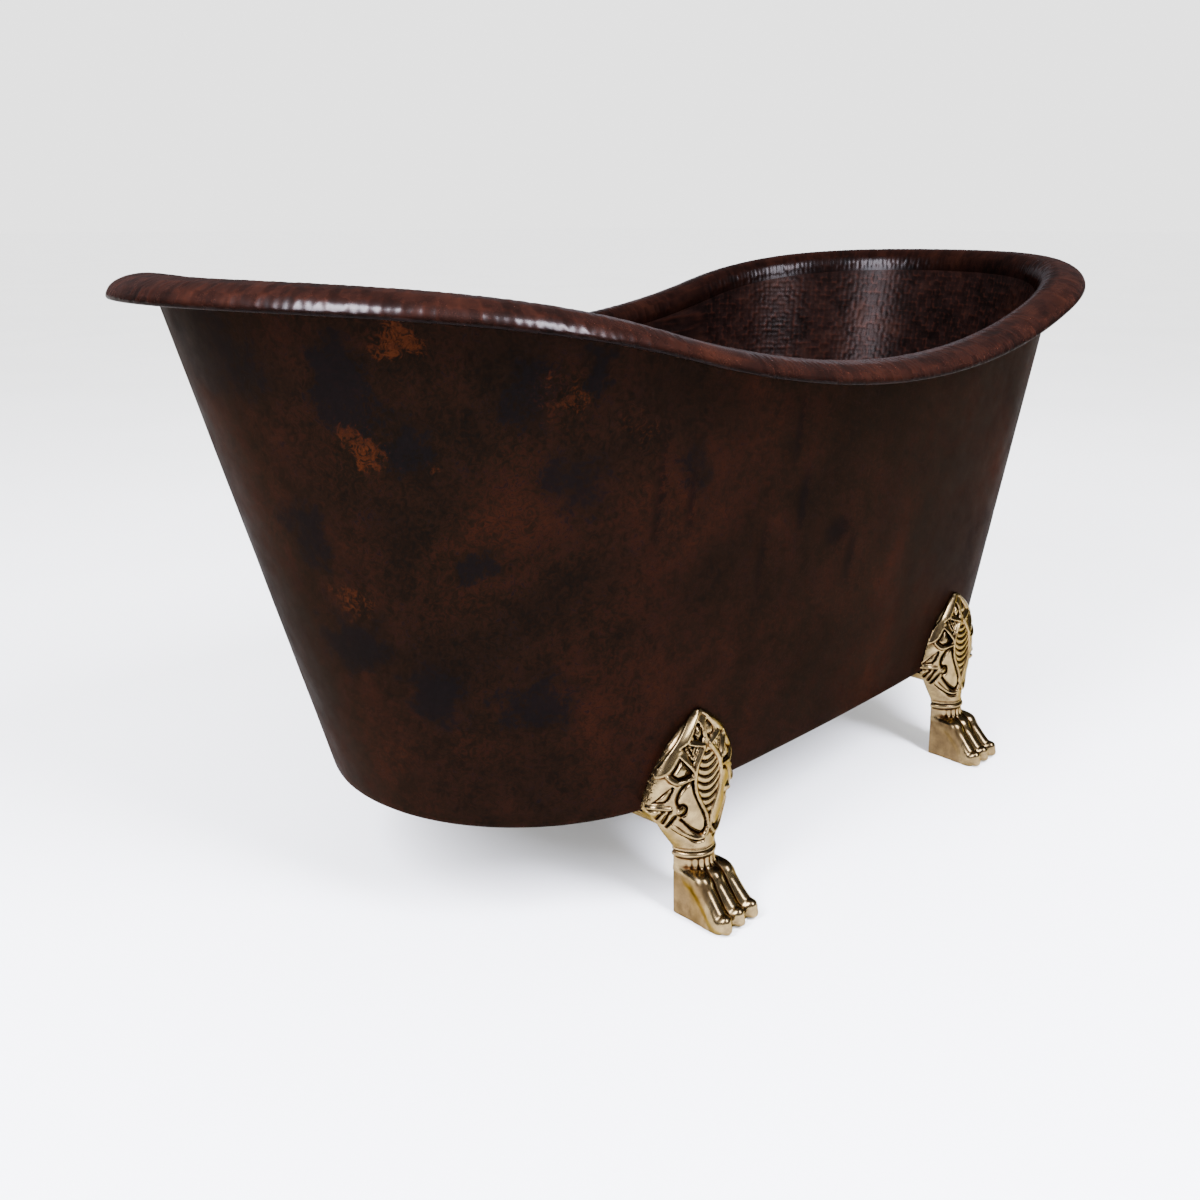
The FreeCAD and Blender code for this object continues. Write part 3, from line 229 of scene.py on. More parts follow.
@dataclass(frozen=True)
class PatinaCopper:
    """Copper sheet, browned with a liver-of-sulphur patina and waxed.

    The oxide film is nearly black where it is thick and red brown where it is thin. Rubbed places
    show orange flecks, and the liquid has left a few dark runs.
    """

    name: str = "patina_copper_sheet"
    cloud_mm: float = 240.0
    mottle_mm: float = 46.0
    fleck_mm: float = 10.0
    grain_mm: float = 3.0
    ragged_mm: float = 60.0
    film: tuple[tuple[float, str], ...] = (
        (0.38, "050403"), (0.45, "090503"), (0.50, "0e0704"), (0.55, "160905"), (0.62, "230e06"),
    )
    bare: str = "301508"
    soot: str = "060505"
    run: str = "040303"
    mottle_share: float = 0.4
    fleck_share: float = 0.5
    rub_gain: float = 0.34
    rub_from: float = 0.74
    rub_full: float = 0.92
    rub_most: float = 0.65
    soot_mottle: float = 1.8
    soot_fleck: float = 5.0
    soot_from: float = 3.78
    soot_full: float = 4.1
    soot_most: float = 0.9
    soot_rubbed_off: float = 0.8
    run_most: float = 0.85
    crust_mm: float = 0.3
    metallic: float = 0.22
    wax: float = 0.006
    edge_tint: str = "c8c2be"
    rubbed: tuple[Patch, ...] = (
        Patch((-690, -230, 770), (40, 50, 40)),
        Patch((-700, -170, 660), (40, 60, 50)),
        Patch((-660, -220, 640), (30, 50, 30), 0.8),
        Patch((-560, -320, 710), (70, 60, 50), 0.75),
        Patch((-470, -350, 680), (60, 50, 40), 0.6),
        Patch((-680, -100, 470), (30, 60, 40), 0.8),
        Patch((-640, -100, 310), (40, 80, 60), 0.45),
        Patch((600, 250, 560), (150, 160, 120), 0.6),
        Patch((120, 360, 620), (160, 120, 90), 0.7),
        Patch((-330, 350, 420), (120, 120, 100), 0.5),
        Patch((760, -60, 600), (80, 160, 100), 0.6),
    )
    sooty: tuple[Patch, ...] = (
        Patch((-770, 0, 750), (60, 150, 90), 0.8),
        Patch((-720, -180, 720), (40, 60, 100)),
        Patch((-680, -210, 660), (40, 50, 60)),
        Patch((-590, -310, 720), (50, 50, 60), 0.8),
        Patch((-530, -320, 620), (60, 50, 60), 0.7),
        Patch((-520, -350, 730), (20, 50, 50)),
        Patch((-710, -70, 550), (30, 60, 70), 0.9),
        Patch((-670, -80, 410), (30, 80, 80)),
        Patch((-620, -160, 350), (50, 70, 60)),
        Patch((-540, -250, 340), (80, 60, 50), 0.9),
        Patch((-610, -240, 520), (30, 40, 30), 0.8),
        Patch((-370, -350, 610), (30, 40, 40), 0.7),
        Patch((420, -330, 330), (220, 140, 150), 0.5),
        Patch((300, 330, 400), (240, 160, 190), 0.8),
        Patch((-450, 320, 560), (160, 160, 130), 0.9),
        Patch((760, 120, 700), (80, 180, 120), 0.8),
    )
    runs: tuple[Patch, ...] = (
        Patch((-200, -370, 640), (8, 40, 70), 0.8),
        Patch((-170, -360, 540), (14, 40, 60)),
        Patch((-80, -350, 480), (40, 40, 30)),
        Patch((-40, -350, 430), (18, 40, 60), 0.8),
        Patch((-380, -350, 580), (8, 40, 70), 0.7),
        Patch((-430, -340, 600), (7, 40, 120), 0.6),
        Patch((-240, -350, 470), (8, 40, 90), 0.6),
        Patch((210, 360, 560), (10, 40, 110)),
        Patch((-260, 350, 520), (9, 40, 120), 0.8),
    )
    roughness_low: float = 0.34
    roughness_high: float = 0.52

    def build(self) -> bpy.types.Material:
        """Make the material.

        Returns:
            A dark, cloudy satin metal.
        """
        material, tree, shader = blank_material(self.name)
        place = add_node(tree, "ShaderNodeTexCoord").outputs["Object"]
        clouds = add_node(tree, "ShaderNodeTexNoise", {
            "Vector": place,
            "Scale": per_metre(self.cloud_mm),
            "Detail": 5.0,
            "Roughness": 0.6,
            "Distortion": 0.5,
        })
        mottle = add_node(tree, "ShaderNodeTexNoise", {
            "Vector": place,
            "Scale": per_metre(self.mottle_mm),
            "Detail": 7.0,
            "Roughness": 0.62,
        })
        flecks = add_node(tree, "ShaderNodeTexNoise", {
            "Vector": place,
            "Scale": per_metre(self.fleck_mm),
            "Detail": 8.0,
            "Roughness": 0.7,
            "Distortion": 2.0,
        })
        fleck = flecks.outputs["Fac"]
        blend = clouds.outputs["Fac"]
        for share, finer in ((self.mottle_share, mottle.outputs["Fac"]), (self.fleck_share, fleck)):
            blend = add_node(
                tree, "ShaderNodeMix", {"Factor": share, FIRST_VALUE: blend, SECOND_VALUE: finer},
                data_type="FLOAT",
            ).outputs[0]
        film = add_node(tree, "ShaderNodeValToRGB", {"Fac": blend})
        ramp(film, self.film)
        torn = self.torn_place(tree, place, mottle.outputs["Color"], 2 * self.ragged_mm)
        thin = self.torn_place(tree, place, flecks.outputs["Color"], self.ragged_mm)
        rubbed = add_node(
            tree, "ShaderNodeMath", {0: patch_mask(tree, torn, self.rubbed), 1: self.rub_gain, 2: fleck},
            operation="MULTIPLY_ADD",
        )
        worn = add_node(tree, "ShaderNodeMapRange", {
            "Value": rubbed.outputs[0],
            "From Min": self.rub_from,
            "From Max": self.rub_full,
            "To Max": self.rub_most,
        }).outputs[0]
        smoke = patch_mask(tree, torn, self.sooty)
        for source, weight in ((mottle.outputs["Fac"], self.soot_mottle), (fleck, self.soot_fleck)):
            smoke = add_node(
                tree, "ShaderNodeMath", {0: source, 1: weight, 2: smoke}, operation="MULTIPLY_ADD",
            ).outputs[0]
        soot = add_node(tree, "ShaderNodeMapRange", {
            "Value": smoke,
            "From Min": self.soot_from,
            "From Max": self.soot_full,
            "To Max": self.soot_most,
        }, interpolation_type="SMOOTHSTEP").outputs[0]
        dusty = add_node(
            tree, "ShaderNodeMath", {0: worn, 1: -self.soot_rubbed_off, 2: soot},
            operation="MULTIPLY_ADD", use_clamp=True,
        )
        run = add_node(
            tree, "ShaderNodeMath", {0: patch_mask(tree, thin, self.runs), 1: self.run_most},
            operation="MULTIPLY",
        )
        base = film.outputs[0]
        for share, code in ((worn, self.bare), (dusty.outputs[0], self.soot), (run.outputs[0], self.run)):
            base = add_node(
                tree, "ShaderNodeMix", {"Factor": share, FIRST_COLOUR: base, SECOND_COLOUR: linear(code)},
                data_type="RGBA",
            ).outputs[MIXED_COLOUR]
        rough = add_node(tree, "ShaderNodeMapRange", {
            "Value": mottle.outputs["Fac"],
            "From Min": 0.3,
            "From Max": 0.7,
            "To Min": self.roughness_low,
            "To Max": self.roughness_high,
        })
        grain = add_node(
            tree, "ShaderNodeTexNoise", {"Vector": place, "Scale": per_metre(self.grain_mm), "Detail": 4.0},
        )
        crust = add_node(tree, "ShaderNodeMath", {0: soot, 1: grain.outputs["Fac"]}, operation="ADD")
        bump = add_node(tree, "ShaderNodeBump", {
            "Height": crust.outputs[0],
            "Strength": 0.2,
            "Distance": self.crust_mm * MM,
        })
        feed(tree, shader, {
            "Base Color": base,
            "Roughness": rough.outputs[0],
            "Normal": bump.outputs[0],
            "Metallic": self.metallic,
            "Specular IOR Level": 0.0,
            "Specular Tint": linear(self.edge_tint),
            "Coat Weight": self.wax,
            "Coat Roughness": 0.3,
        })
        return material

    @staticmethod
    def torn_place(
        tree: bpy.types.NodeTree, place: bpy.types.NodeSocket, noise: bpy.types.NodeSocket, reach_mm: float,
    ) -> bpy.types.NodeSocket:
        """Coordinates pulled about by a noise, so that patches get ragged edges.

        Args:
            tree: Node tree of the material.
            place: Object coordinates, in metres.
            noise: Colour of the noise.
            reach_mm: How far the whole range of the noise moves a point.

        Returns:
            The moved coordinates.
        """
        centred = add_node(tree, "ShaderNodeVectorMath", {0: noise, 1: [0.5] * 3}, operation="SUBTRACT")
        return add_node(
            tree, "ShaderNodeVectorMath", {0: centred.outputs[0], 1: [reach_mm * MM] * 3, 2: place},
            operation="MULTIPLY_ADD",
        ).outputs[0]


@dataclass(frozen=True)
class HammeredCopper:
    """Planished copper under dark wax: each hammer facet is polished, the ridges between are redder.

    The mesh attribute "blow" is high on the ridges between blows, and "facet" differs from blow to blow;
    its random brightness for each facet is a painted reflection of facets that face different ways. "under"
    marks painted shade on a rolled edge: its underside, lip and inner face are darkened and lose most of
    their coat.
    """

    name: str
    dark: str
    middle: str
    bright: str
    ridge: str
    soot_share: float
    metallic: float
    shine: float
    polish: float
    wear: float
    cloud_mm: float = 110.0
    mottle_mm: float = 26.0
    grain_mm: float = 1.6
    grain_depth_mm: float = 0.2
    roughness_low: float = 0.2
    roughness_high: float = 0.34
    coat_roughness: float = 0.24
    edge_tint: str = "c8c2be"
    # How far the painted reflection brightens or darkens each facet
    facet_reflection_swing: float = 0.2
    # Share of the base colour and coat kept where the rolled edge's shade is painted in
    under_light: float = 0.12

    def build(self) -> bpy.types.Material:
        """Make the material.

        Returns:
            A glossy red-brown metal with smoky and worn places.
        """
        material, tree, shader = blank_material(self.name)
        place = add_node(tree, "ShaderNodeTexCoord").outputs["Object"]
        blow, facet, under = (
            add_node(tree, "ShaderNodeAttribute", attribute_name=name).outputs["Fac"]
            for name in ("blow", "facet", "under")
        )
        clouds = add_node(tree, "ShaderNodeTexNoise", {
            "Vector": place,
            "Scale": per_metre(self.cloud_mm),
            "Detail": 5.0,
            "Roughness": 0.6,
        })
        mottle = add_node(tree, "ShaderNodeTexNoise", {
            "Vector": place,
            "Scale": per_metre(self.mottle_mm),
            "Detail": 4.0,
            "Roughness": 0.6,
        })
        blend = add_node(tree, "ShaderNodeMix", {
            "Factor": 0.4,
            FIRST_VALUE: clouds.outputs["Fac"],
            SECOND_VALUE: mottle.outputs["Fac"],
        }, data_type="FLOAT")
        colour = add_node(tree, "ShaderNodeValToRGB", {"Fac": blend.outputs[0]})
        ramp(colour, ((0.30 + self.soot_share, self.dark), (0.50, self.middle), (0.66, self.bright)))
        worn = add_node(tree, "ShaderNodeMapRange", {
            "Value": blow,
            "From Min": -0.1,
            "From Max": 0.5,
            "To Max": self.wear,
        })
        edged = add_node(tree, "ShaderNodeMix", {
            "Factor": worn.outputs[0],
            FIRST_COLOUR: colour.outputs[0],
            SECOND_COLOUR: linear(self.ridge),
        }, data_type="RGBA")
        # Painted reflection: each hammer facet gets a random brightness, standing in for facets that
        # reflect the room differently.
        shade = add_node(tree, "ShaderNodeMapRange", {
            "Value": facet,
            "From Min": 0.25,
            "From Max": 0.75,
            "To Min": 1.0 - self.facet_reflection_swing,
            "To Max": 1.0 + self.facet_reflection_swing,
        })
        # Painted shade: where "under" is one, the base colour and the coat fall to under_light of their
        # strength, darkening the rolled edge's underside, lip and inner face.
        open_share = add_node(
            tree, "ShaderNodeMapRange", {"Value": under, "To Min": 1.0, "To Max": self.under_light},
        ).outputs[0]
        lit = add_node(tree, "ShaderNodeMath", {0: shade.outputs[0], 1: open_share}, operation="MULTIPLY")
        base = add_node(
            tree, "ShaderNodeVectorMath", {0: edged.outputs[MIXED_COLOUR], "Scale": lit.outputs[0]},
            operation="SCALE",
        )
        coat = 0.0
        if self.polish:
            coat = add_node(
                tree, "ShaderNodeMath", {0: open_share, 1: self.polish}, operation="MULTIPLY",
            ).outputs[0]
        rough = add_node(tree, "ShaderNodeMapRange", {
            "Value": mottle.outputs["Fac"],
            "From Min": 0.3,
            "From Max": 0.7,
            "To Min": self.roughness_low,
            "To Max": self.roughness_high,
        })
        grain = add_node(
            tree, "ShaderNodeTexNoise", {"Vector": place, "Scale": per_metre(self.grain_mm), "Detail": 2.0},
        )
        bump = add_node(tree, "ShaderNodeBump", {
            "Height": grain.outputs["Fac"],
            "Strength": 0.05,
            "Distance": self.grain_depth_mm * MM,
        })
        feed(tree, shader, {
            "Base Color": base.outputs[0],
            "Roughness": rough.outputs[0],
            "Normal": bump.outputs[0],
            "Metallic": self.metallic,
            "Specular IOR Level": self.shine,
            "Specular Tint": linear(self.edge_tint),
            "Coat Weight": coat,
            "Coat Roughness": self.coat_roughness,
        })
        return material


@dataclass(frozen=True)
class CastBrass:
    """Sand-cast brass, polished on its high places and left dark brown in its hollows."""

    name: str = "cast_brass"
    mottle_mm: float = 14.0
    pit_mm: float = 1.1
    pit_depth_mm: float = 0.2
    metal: tuple[tuple[float, str], ...] = ((0.32, "55472f"), (0.50, "6a593c"), (0.68, "7e6c49"))
    tarnish: tuple[tuple[float, str], ...] = ((0.05, "ffffff"), (0.28, "80624a"), (0.55, "1e1610"))
    polished: float = 0.24
    dull: float = 0.62
    edge_tint: str = "b8b09c"

    def build(self) -> bpy.types.Material:
        """Make the material.

        Returns:
            A brass whose colour and gloss follow the mesh attribute "recess".
        """
        material, tree, shader = blank_material(self.name)
        place = add_node(tree, "ShaderNodeTexCoord").outputs["Object"]
        hollow = add_node(tree, "ShaderNodeAttribute", attribute_name="recess").outputs["Fac"]
        mottle = add_node(tree, "ShaderNodeTexNoise", {
            "Vector": place,
            "Scale": per_metre(self.mottle_mm),
            "Detail": 5.0,
            "Roughness": 0.6,
        })
        metal = add_node(tree, "ShaderNodeValToRGB", {"Fac": mottle.outputs["Fac"]})
        ramp(metal, self.metal)
        shade = add_node(tree, "ShaderNodeValToRGB", {"Fac": hollow})
        ramp(shade, self.tarnish)
        base = add_node(
            tree, "ShaderNodeMix",
            {"Factor": 1.0, FIRST_COLOUR: metal.outputs[0], SECOND_COLOUR: shade.outputs[0]},
            data_type="RGBA", blend_type="MULTIPLY",
        )
        rough = add_node(
            tree, "ShaderNodeMapRange",
            {"Value": hollow, "From Max": 0.8, "To Min": self.polished, "To Max": self.dull},
        )
        pits = add_node(
            tree, "ShaderNodeTexNoise", {"Vector": place, "Scale": per_metre(self.pit_mm), "Detail": 2.0},
        )
        bump = add_node(tree, "ShaderNodeBump", {
            "Height": pits.outputs["Fac"],
            "Strength": 0.08,
            "Distance": self.pit_depth_mm * MM,
        })
        feed(tree, shader, {
            "Base Color": base.outputs[MIXED_COLOUR],
            "Roughness": rough.outputs[0],
            "Normal": bump.outputs[0],
            "Metallic": 1.0,
            "Specular Tint": linear(self.edge_tint),
        })
        return material


@dataclass(frozen=True)
class MachinedFinish:
    """A plain turned, pressed or moulded finish with fine marks."""

    name: str
    dark: str
    bright: str
    metallic: float
    roughness: float
    mark_mm: float
    mark_depth_mm: float = 0.1
    gloss_swing: float = 0.15

    def build(self) -> bpy.types.Material:
        """Make the material.

        Returns:
            A material with fine uneven colour and gloss.
        """
        material, tree, shader = blank_material(self.name)
        place = add_node(tree, "ShaderNodeTexCoord").outputs["Object"]
        marks = add_node(tree, "ShaderNodeTexNoise", {
            "Vector": place,
            "Scale": per_metre(self.mark_mm),
            "Detail": 4.0,
            "Roughness": 0.6,
        }).outputs["Fac"]
        colour = add_node(tree, "ShaderNodeValToRGB", {"Fac": marks})
        ramp(colour, ((0.3, self.dark), (0.7, self.bright)))
        rough = add_node(tree, "ShaderNodeMapRange", {
            "Value": marks,
            "From Min": 0.3,
            "From Max": 0.7,
            "To Min": self.roughness * (1 - self.gloss_swing),
            "To Max": self.roughness * (1 + self.gloss_swing),
        })
        bump = add_node(
            tree, "ShaderNodeBump", {"Height": marks, "Strength": 0.1, "Distance": self.mark_depth_mm * MM},
        )
        feed(tree, shader, {
            "Base Color": colour.outputs[0],
            "Roughness": rough.outputs[0],
            "Normal": bump.outputs[0],
            "Metallic": self.metallic,
        })
        return material


@dataclass(frozen=True)
class TubForm:
    """The tub's ruled walls and slipper curve, which every sheet follows; lengths in millimetres."""

    top_height: float = 840.0
    top_half_length: float = 794.0
    top_half_width: float = 408.0
    top_bow: float = 28.0
    base_height: float = 168.0
    base_half_length: float = 618.0
    base_half_width: float = 305.0
    base_bow: float = 8.0
    rim_end_height: float = 810.0
    rim_dip: float = 120.0
    sag_share: float = 0.56
    overhang: float = 52.0
    spacing: float = 26.0
    sheet: float = 1.6
    drain_hole: float = 22.0
    slope_step: float = 10.0
    edge_tries: int = 8
    even_height: float = 500.0
    even_steps: int = 4000

    def share(self, height: np.ndarray) -> np.ndarray:
        """Share of the way from the lower oval to the upper one."""
        return (np.asarray(height, float) - self.base_height) / (self.top_height - self.base_height)

    def oval(self, height: np.ndarray) -> tuple[np.ndarray, ...]:
        """Four-arc oval of the outer wall at a height.

        Args:
            height: Heights in millimetres.

        Returns:
            End-arc place, side-arc drop, end radius and side radius.
        """
        part = self.share(height)
        length = self.base_half_length + (self.top_half_length - self.base_half_length) * part
        width = self.base_half_width + (self.top_half_width - self.base_half_width) * part
        bow = self.base_bow + (self.top_bow - self.base_bow) * part
        end = width - bow
        across = length - end
        side = (across**2 + width**2 - end**2) / (2 * bow)
        return across, side - width, end, side

    def point(self, angle: np.ndarray, height: np.ndarray, inset: np.ndarray | float = 0.0) -> np.ndarray:
        """Point of the outer wall, or of a curve inside it.

        Args:
            angle: Directions that the wall faces, in radians.
            height: Heights in millimetres, one for each angle.
            inset: Distance inside the wall, measured level.

        Returns:
            Points in millimetres, one row for each angle.
        """
        angle, height = np.broadcast_arrays(np.asarray(angle, float), np.asarray(height, float))
        across, drop, end, side = self.oval(height)
        nx = np.cos(angle)
        ny = np.sin(angle)
        on_side = np.abs(ny) * across > np.abs(nx) * drop
        x = np.where(on_side, side * nx, np.sign(nx) * across + end * nx)
        y = np.where(on_side, side * ny - np.sign(ny) * drop, end * ny)
        return np.stack([x - inset * nx, y - inset * ny, height], -1)

    def slope(self, angle: np.ndarray, height: np.ndarray) -> np.ndarray:
        """Outward run of the wall for each unit of height, where it faces an angle."""
        move = self.point(angle, height + self.slope_step) - self.point(angle, height)
        return (move[..., 0] * np.cos(angle) + move[..., 1] * np.sin(angle)) / self.slope_step

    def rim_line(self, x: np.ndarray) -> np.ndarray:
        """Height of the slipper curve at places along the tub.

        Args:
            x: Places along the tub in millimetres.

        Returns:
            Heights in millimetres.
        """
        across, _, end, _ = self.oval(self.rim_end_height)
        run = across + end + self.overhang
        total = (run**2 + self.rim_dip**2) / (2 * self.rim_dip)
        sag = self.sag_share * total
        crown = total - sag
        away = np.minimum(np.abs(x), run)
        low = self.rim_end_height - self.rim_dip + sag - np.sqrt(sag**2 - np.minimum(away, sag) ** 2)
        high = self.rim_end_height - crown + np.sqrt(crown**2 - (run - away) ** 2)
        return np.where(away < sag * run / total, low, high)

    def edge(self, angle: np.ndarray, inset: float = 0.0, shift: float = 0.0) -> np.ndarray:
        """Height at which a sheet that faces an angle meets the slipper curve.

        Args:
            angle: Directions that the sheet faces.
            inset: Distance of the sheet inside the outer wall.
            shift: Rise above the slipper curve.

        Returns:
            Heights in millimetres.
        """
        height = np.full(np.shape(angle), self.rim_end_height - self.rim_dip)
        for _ in range(self.edge_tries):
            height = self.rim_line(self.point(angle, height, inset)[..., 0]) + shift
        return height

    def around(self, count: int, start: float, turn: float) -> np.ndarray:
        """Facing angles spaced evenly along the wall.

        Args:
            count: Number of angles.
            start: First facing angle.
            turn: How far the angles go round; a full turn leaves out the repeated last one.

        Returns:
            Angles in radians.
        """
        fine = np.linspace(start, start + turn, self.even_steps + 1)
        line = self.point(fine, np.full(fine.shape, self.even_height))
        steps = np.linalg.norm(np.diff(line, axis=0), axis=1)
        walked = np.concatenate([[0.0], np.cumsum(steps)])
        places = np.linspace(0.0, walked[-1], count + 1 if turn == FULL_TURN else count)
        return np.interp(places[:count], walked, fine)

    def bowl_rows(
        self, angle: np.ndarray, inset: float, low: float, radius: float, top: np.ndarray,
        bend_rows: int, wall_rows: int,
    ) -> list[np.ndarray]:
        """Rows of points from the edge of a level floor, round a bend and up the wall.

        Args:
            angle: Directions that the wall faces.
            inset: Distance of the face inside the outer wall.
            low: Height of the floor.
            radius: Radius of the bend.
            top: Heights at which the wall ends.
            bend_rows: Rows round the bend; the first one is the floor's edge.
            wall_rows: Rows up the wall.

        Returns:
            Rows of points in millimetres.
        """
        lean = np.arctan(self.slope(angle, np.full(angle.shape, low)))
        middle = low + radius
        reach = radius / np.cos(lean)
        rows = []
        for part in np.linspace(0.0, 1.0, bend_rows, endpoint=False):
            bend = part * (QUARTER_TURN - lean)
            height = middle - radius * np.cos(bend)
            wall = self.slope(angle, height) * (height - middle)
            rows.append(self.point(angle, height, inset + reach + wall - radius * np.sin(bend)))
        foot = middle - radius * np.sin(lean)
        for part in np.linspace(0.0, 1.0, wall_rows):
            rows.append(self.point(angle, foot + (top - foot) * part, inset))
        return rows

    @staticmethod
    def floor_rows(edge: np.ndarray, hole: float, parts: np.ndarray) -> list[np.ndarray]:
        """Level rows between a round hole and the edge of a floor.

        Args:
            edge: Points of the floor's edge.
            hole: Radius of the hole.
            parts: Shares of the way from the hole to the edge.

        Returns:
            Rows of points in millimetres.
        """
        outer = edge[:, :2]
        inner = outer / np.linalg.norm(outer, axis=1)[:, None] * hole
        return [np.column_stack([inner + (outer - inner) * part, edge[:, 2]]) for part in parts]


def swept_faces(rows: int, columns: int, ring: bool) -> list[list[int]]:
    """Faces of a closed section that is swept along a path.

    Args:
        rows: Points round the section.
        columns: Stations along the path.
        ring: The path closes on itself; otherwise both of its ends get a cap.

    Returns:
        Corner numbers of each face.
    """
    r, c = np.meshgrid(np.arange(rows), np.arange(columns if ring else columns - 1), indexing="ij")
    r2 = (r + 1) % rows
    c2 = (c + 1) % columns
    quads = np.stack([r * columns + c, r * columns + c2, r2 * columns + c2, r2 * columns + c], -1)
    faces = quads.reshape(-1, 4).tolist()
    if not ring:
        faces += [[row * columns + end for row in range(rows)] for end in (0, columns - 1)]
    return faces


def make_piece(
    name: str, points: np.ndarray, faces: Sequence[Sequence[int]], attributes: dict | None = None,
) -> bpy.types.Object:
    """Make a smooth mesh object from points in millimetres.

    Args:
        name: Name of the piece.
        points: Corner points, in millimetres.
        faces: Corner numbers of each face.
        attributes: Named values for each point: one number, or three for a vector.

    Returns:
        The object, with its faces turned outwards.
    """
    mesh = bpy.data.meshes.new(name)
    mesh.from_pydata((points * MM).tolist(), [], faces)
    for key, values in (attributes or {}).items():
        values = np.asarray(values, np.float32)
        kind = "FLOAT_VECTOR" if values.ndim == 2 else "FLOAT"
        layer = mesh.attributes.new(key, kind, "POINT")
        layer.data.foreach_set("vector" if values.ndim == 2 else "value", values.ravel())
    work = bmesh.new()
    work.from_mesh(mesh)
    bmesh.ops.recalc_face_normals(work, faces=work.faces)
    work.to_mesh(mesh)
    work.free()
    mesh.shade_smooth()
    mesh.set_sharp_from_angle(angle=SHARP_TURN)
    piece = bpy.data.objects.new(name, mesh)
    bpy.context.scene.collection.objects.link(piece)
    return piece


def fit_out(piece: bpy.types.Object, body: Body, nodes: Sequence[str]) -> None:
    """Hand a finished piece to the frame.

    Args:
        piece: The finished object.
        body: Body that carries it.
        nodes: Solids that it stands for.
    """
    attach(piece, body.value)
    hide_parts(*nodes)
    LOG.info("%s: %d faces on %s", piece.name, len(piece.data.polygons), body.value)


@dataclass
class SheetTree:
    """Geometry Nodes tree that beats a sheet: hammer dimples and long waves along its normals."""

    name: str = "beaten_sheet"
    bowl_gain: float = 2.2
    bowl_depth: float = 0.5
    ridge_most: float = 0.5
    tree: bpy.types.NodeTree = field(init=False)
    inputs: dict = field(init=False, default_factory=dict)

    def __post_init__(self) -> None:
        """Build the tree once."""
        tree = bpy.data.node_groups.new(self.name, "GeometryNodeTree")
        face = tree.interface
        face.new_socket("Geometry", in_out="INPUT", socket_type="NodeSocketGeometry")
        for label, kind in (
            ("Dimple Pitch", "NodeSocketFloat"),
            ("Dimple Depth", "NodeSocketFloat"),
            ("Wave Length", "NodeSocketFloat"),
            ("Wave Depth", "NodeSocketFloat"),
            ("Seed", "NodeSocketFloat"),
            ("Finish", "NodeSocketMaterial"),
        ):
            self.inputs[label] = face.new_socket(label, in_out="INPUT", socket_type=kind).identifier
        face.new_socket("Geometry", in_out="OUTPUT", socket_type="NodeSocketGeometry")
        given = add_node(tree, "NodeGroupInput").outputs
        spread, strike = (
            add_node(tree, "GeometryNodeInputNamedAttribute", {"Name": name}, data_type=kind)
            for name, kind in (("spread", "FLOAT_VECTOR"), ("strike", "FLOAT"))
        )
        shift = add_node(tree, "ShaderNodeCombineXYZ", {0: given["Seed"], 1: given["Seed"]})
        pitch = add_node(tree, "ShaderNodeCombineXYZ", {axis: given["Dimple Pitch"] for axis in range(3)})
        blows = add_node(
            tree, "ShaderNodeVectorMath", {0: spread.outputs[0], 1: pitch.outputs[0]}, operation="DIVIDE",
        )
        moved = add_node(
            tree, "ShaderNodeVectorMath", {0: blows.outputs[0], 1: shift.outputs[0]}, operation="ADD",
        )
        cells = add_node(
            tree, "ShaderNodeTexVoronoi",
            {"Vector": moved.outputs[0], "Scale": 1.0, "Smoothness": 0.10, "Randomness": 0.5},
            voronoi_dimensions="2D", feature="SMOOTH_F1",
        )
        away = cells.outputs["Distance"]
        bowl = add_node(tree, "ShaderNodeMath", {0: away, 1: away}, operation="MULTIPLY")
        lifted = add_node(
            tree, "ShaderNodeMath", {0: bowl.outputs[0], 1: self.bowl_gain, 2: -self.bowl_depth},
            operation="MULTIPLY_ADD",
        )
        capped = add_node(
            tree, "ShaderNodeMath", {0: lifted.outputs[0], 1: self.ridge_most}, operation="MINIMUM",
        )
        dimple = add_node(
            tree, "ShaderNodeMath", {0: capped.outputs[0], 1: given["Dimple Depth"]}, operation="MULTIPLY",
        )
        where = add_node(tree, "GeometryNodeInputPosition")
        length = add_node(tree, "ShaderNodeMath", {0: 1.0, 1: given["Wave Length"]}, operation="DIVIDE")
        swell = add_node(
            tree, "ShaderNodeTexNoise",
            {"Vector": where.outputs[0], "Scale": length.outputs[0], "Detail": 1.0},
        )
        centred = add_node(tree, "ShaderNodeMath", {0: swell.outputs["Fac"], 1: 0.5}, operation="SUBTRACT")
        pushed = add_node(
            tree, "ShaderNodeMath", {0: centred.outputs[0], 1: given["Wave Depth"], 2: dimple.outputs[0]},
            operation="MULTIPLY_ADD",
        )
        total, struck = (
            add_node(tree, "ShaderNodeMath", {0: depth, 1: strike.outputs[0]}, operation="MULTIPLY")
            for depth in (pushed.outputs[0], capped.outputs[0])
        )
        normal = add_node(tree, "GeometryNodeInputNormal")
        push = add_node(
            tree, "ShaderNodeVectorMath", {0: normal.outputs[0], "Scale": total.outputs[0]},
            operation="SCALE",
        )
        beaten = add_node(
            tree, "GeometryNodeSetPosition", {"Geometry": given["Geometry"], "Offset": push.outputs[0]},
        )
        kept = beaten.outputs[0]
        for label, value in (("blow", struck.outputs[0]), ("facet", cells.outputs["Color"])):
            kept = add_node(
                tree, "GeometryNodeStoreNamedAttribute", {"Geometry": kept, "Name": label, "Value": value},
                data_type="FLOAT", domain="POINT",
            ).outputs[0]
        solid = add_node(tree, "GeometryNodeRealizeInstances", {"Geometry": kept})
        finish = add_node(
            tree, "GeometryNodeSetMaterial", {"Geometry": solid.outputs[0], "Material": given["Finish"]},
        )
        add_node(tree, "NodeGroupOutput", {0: finish.outputs[0]})
        self.tree = tree

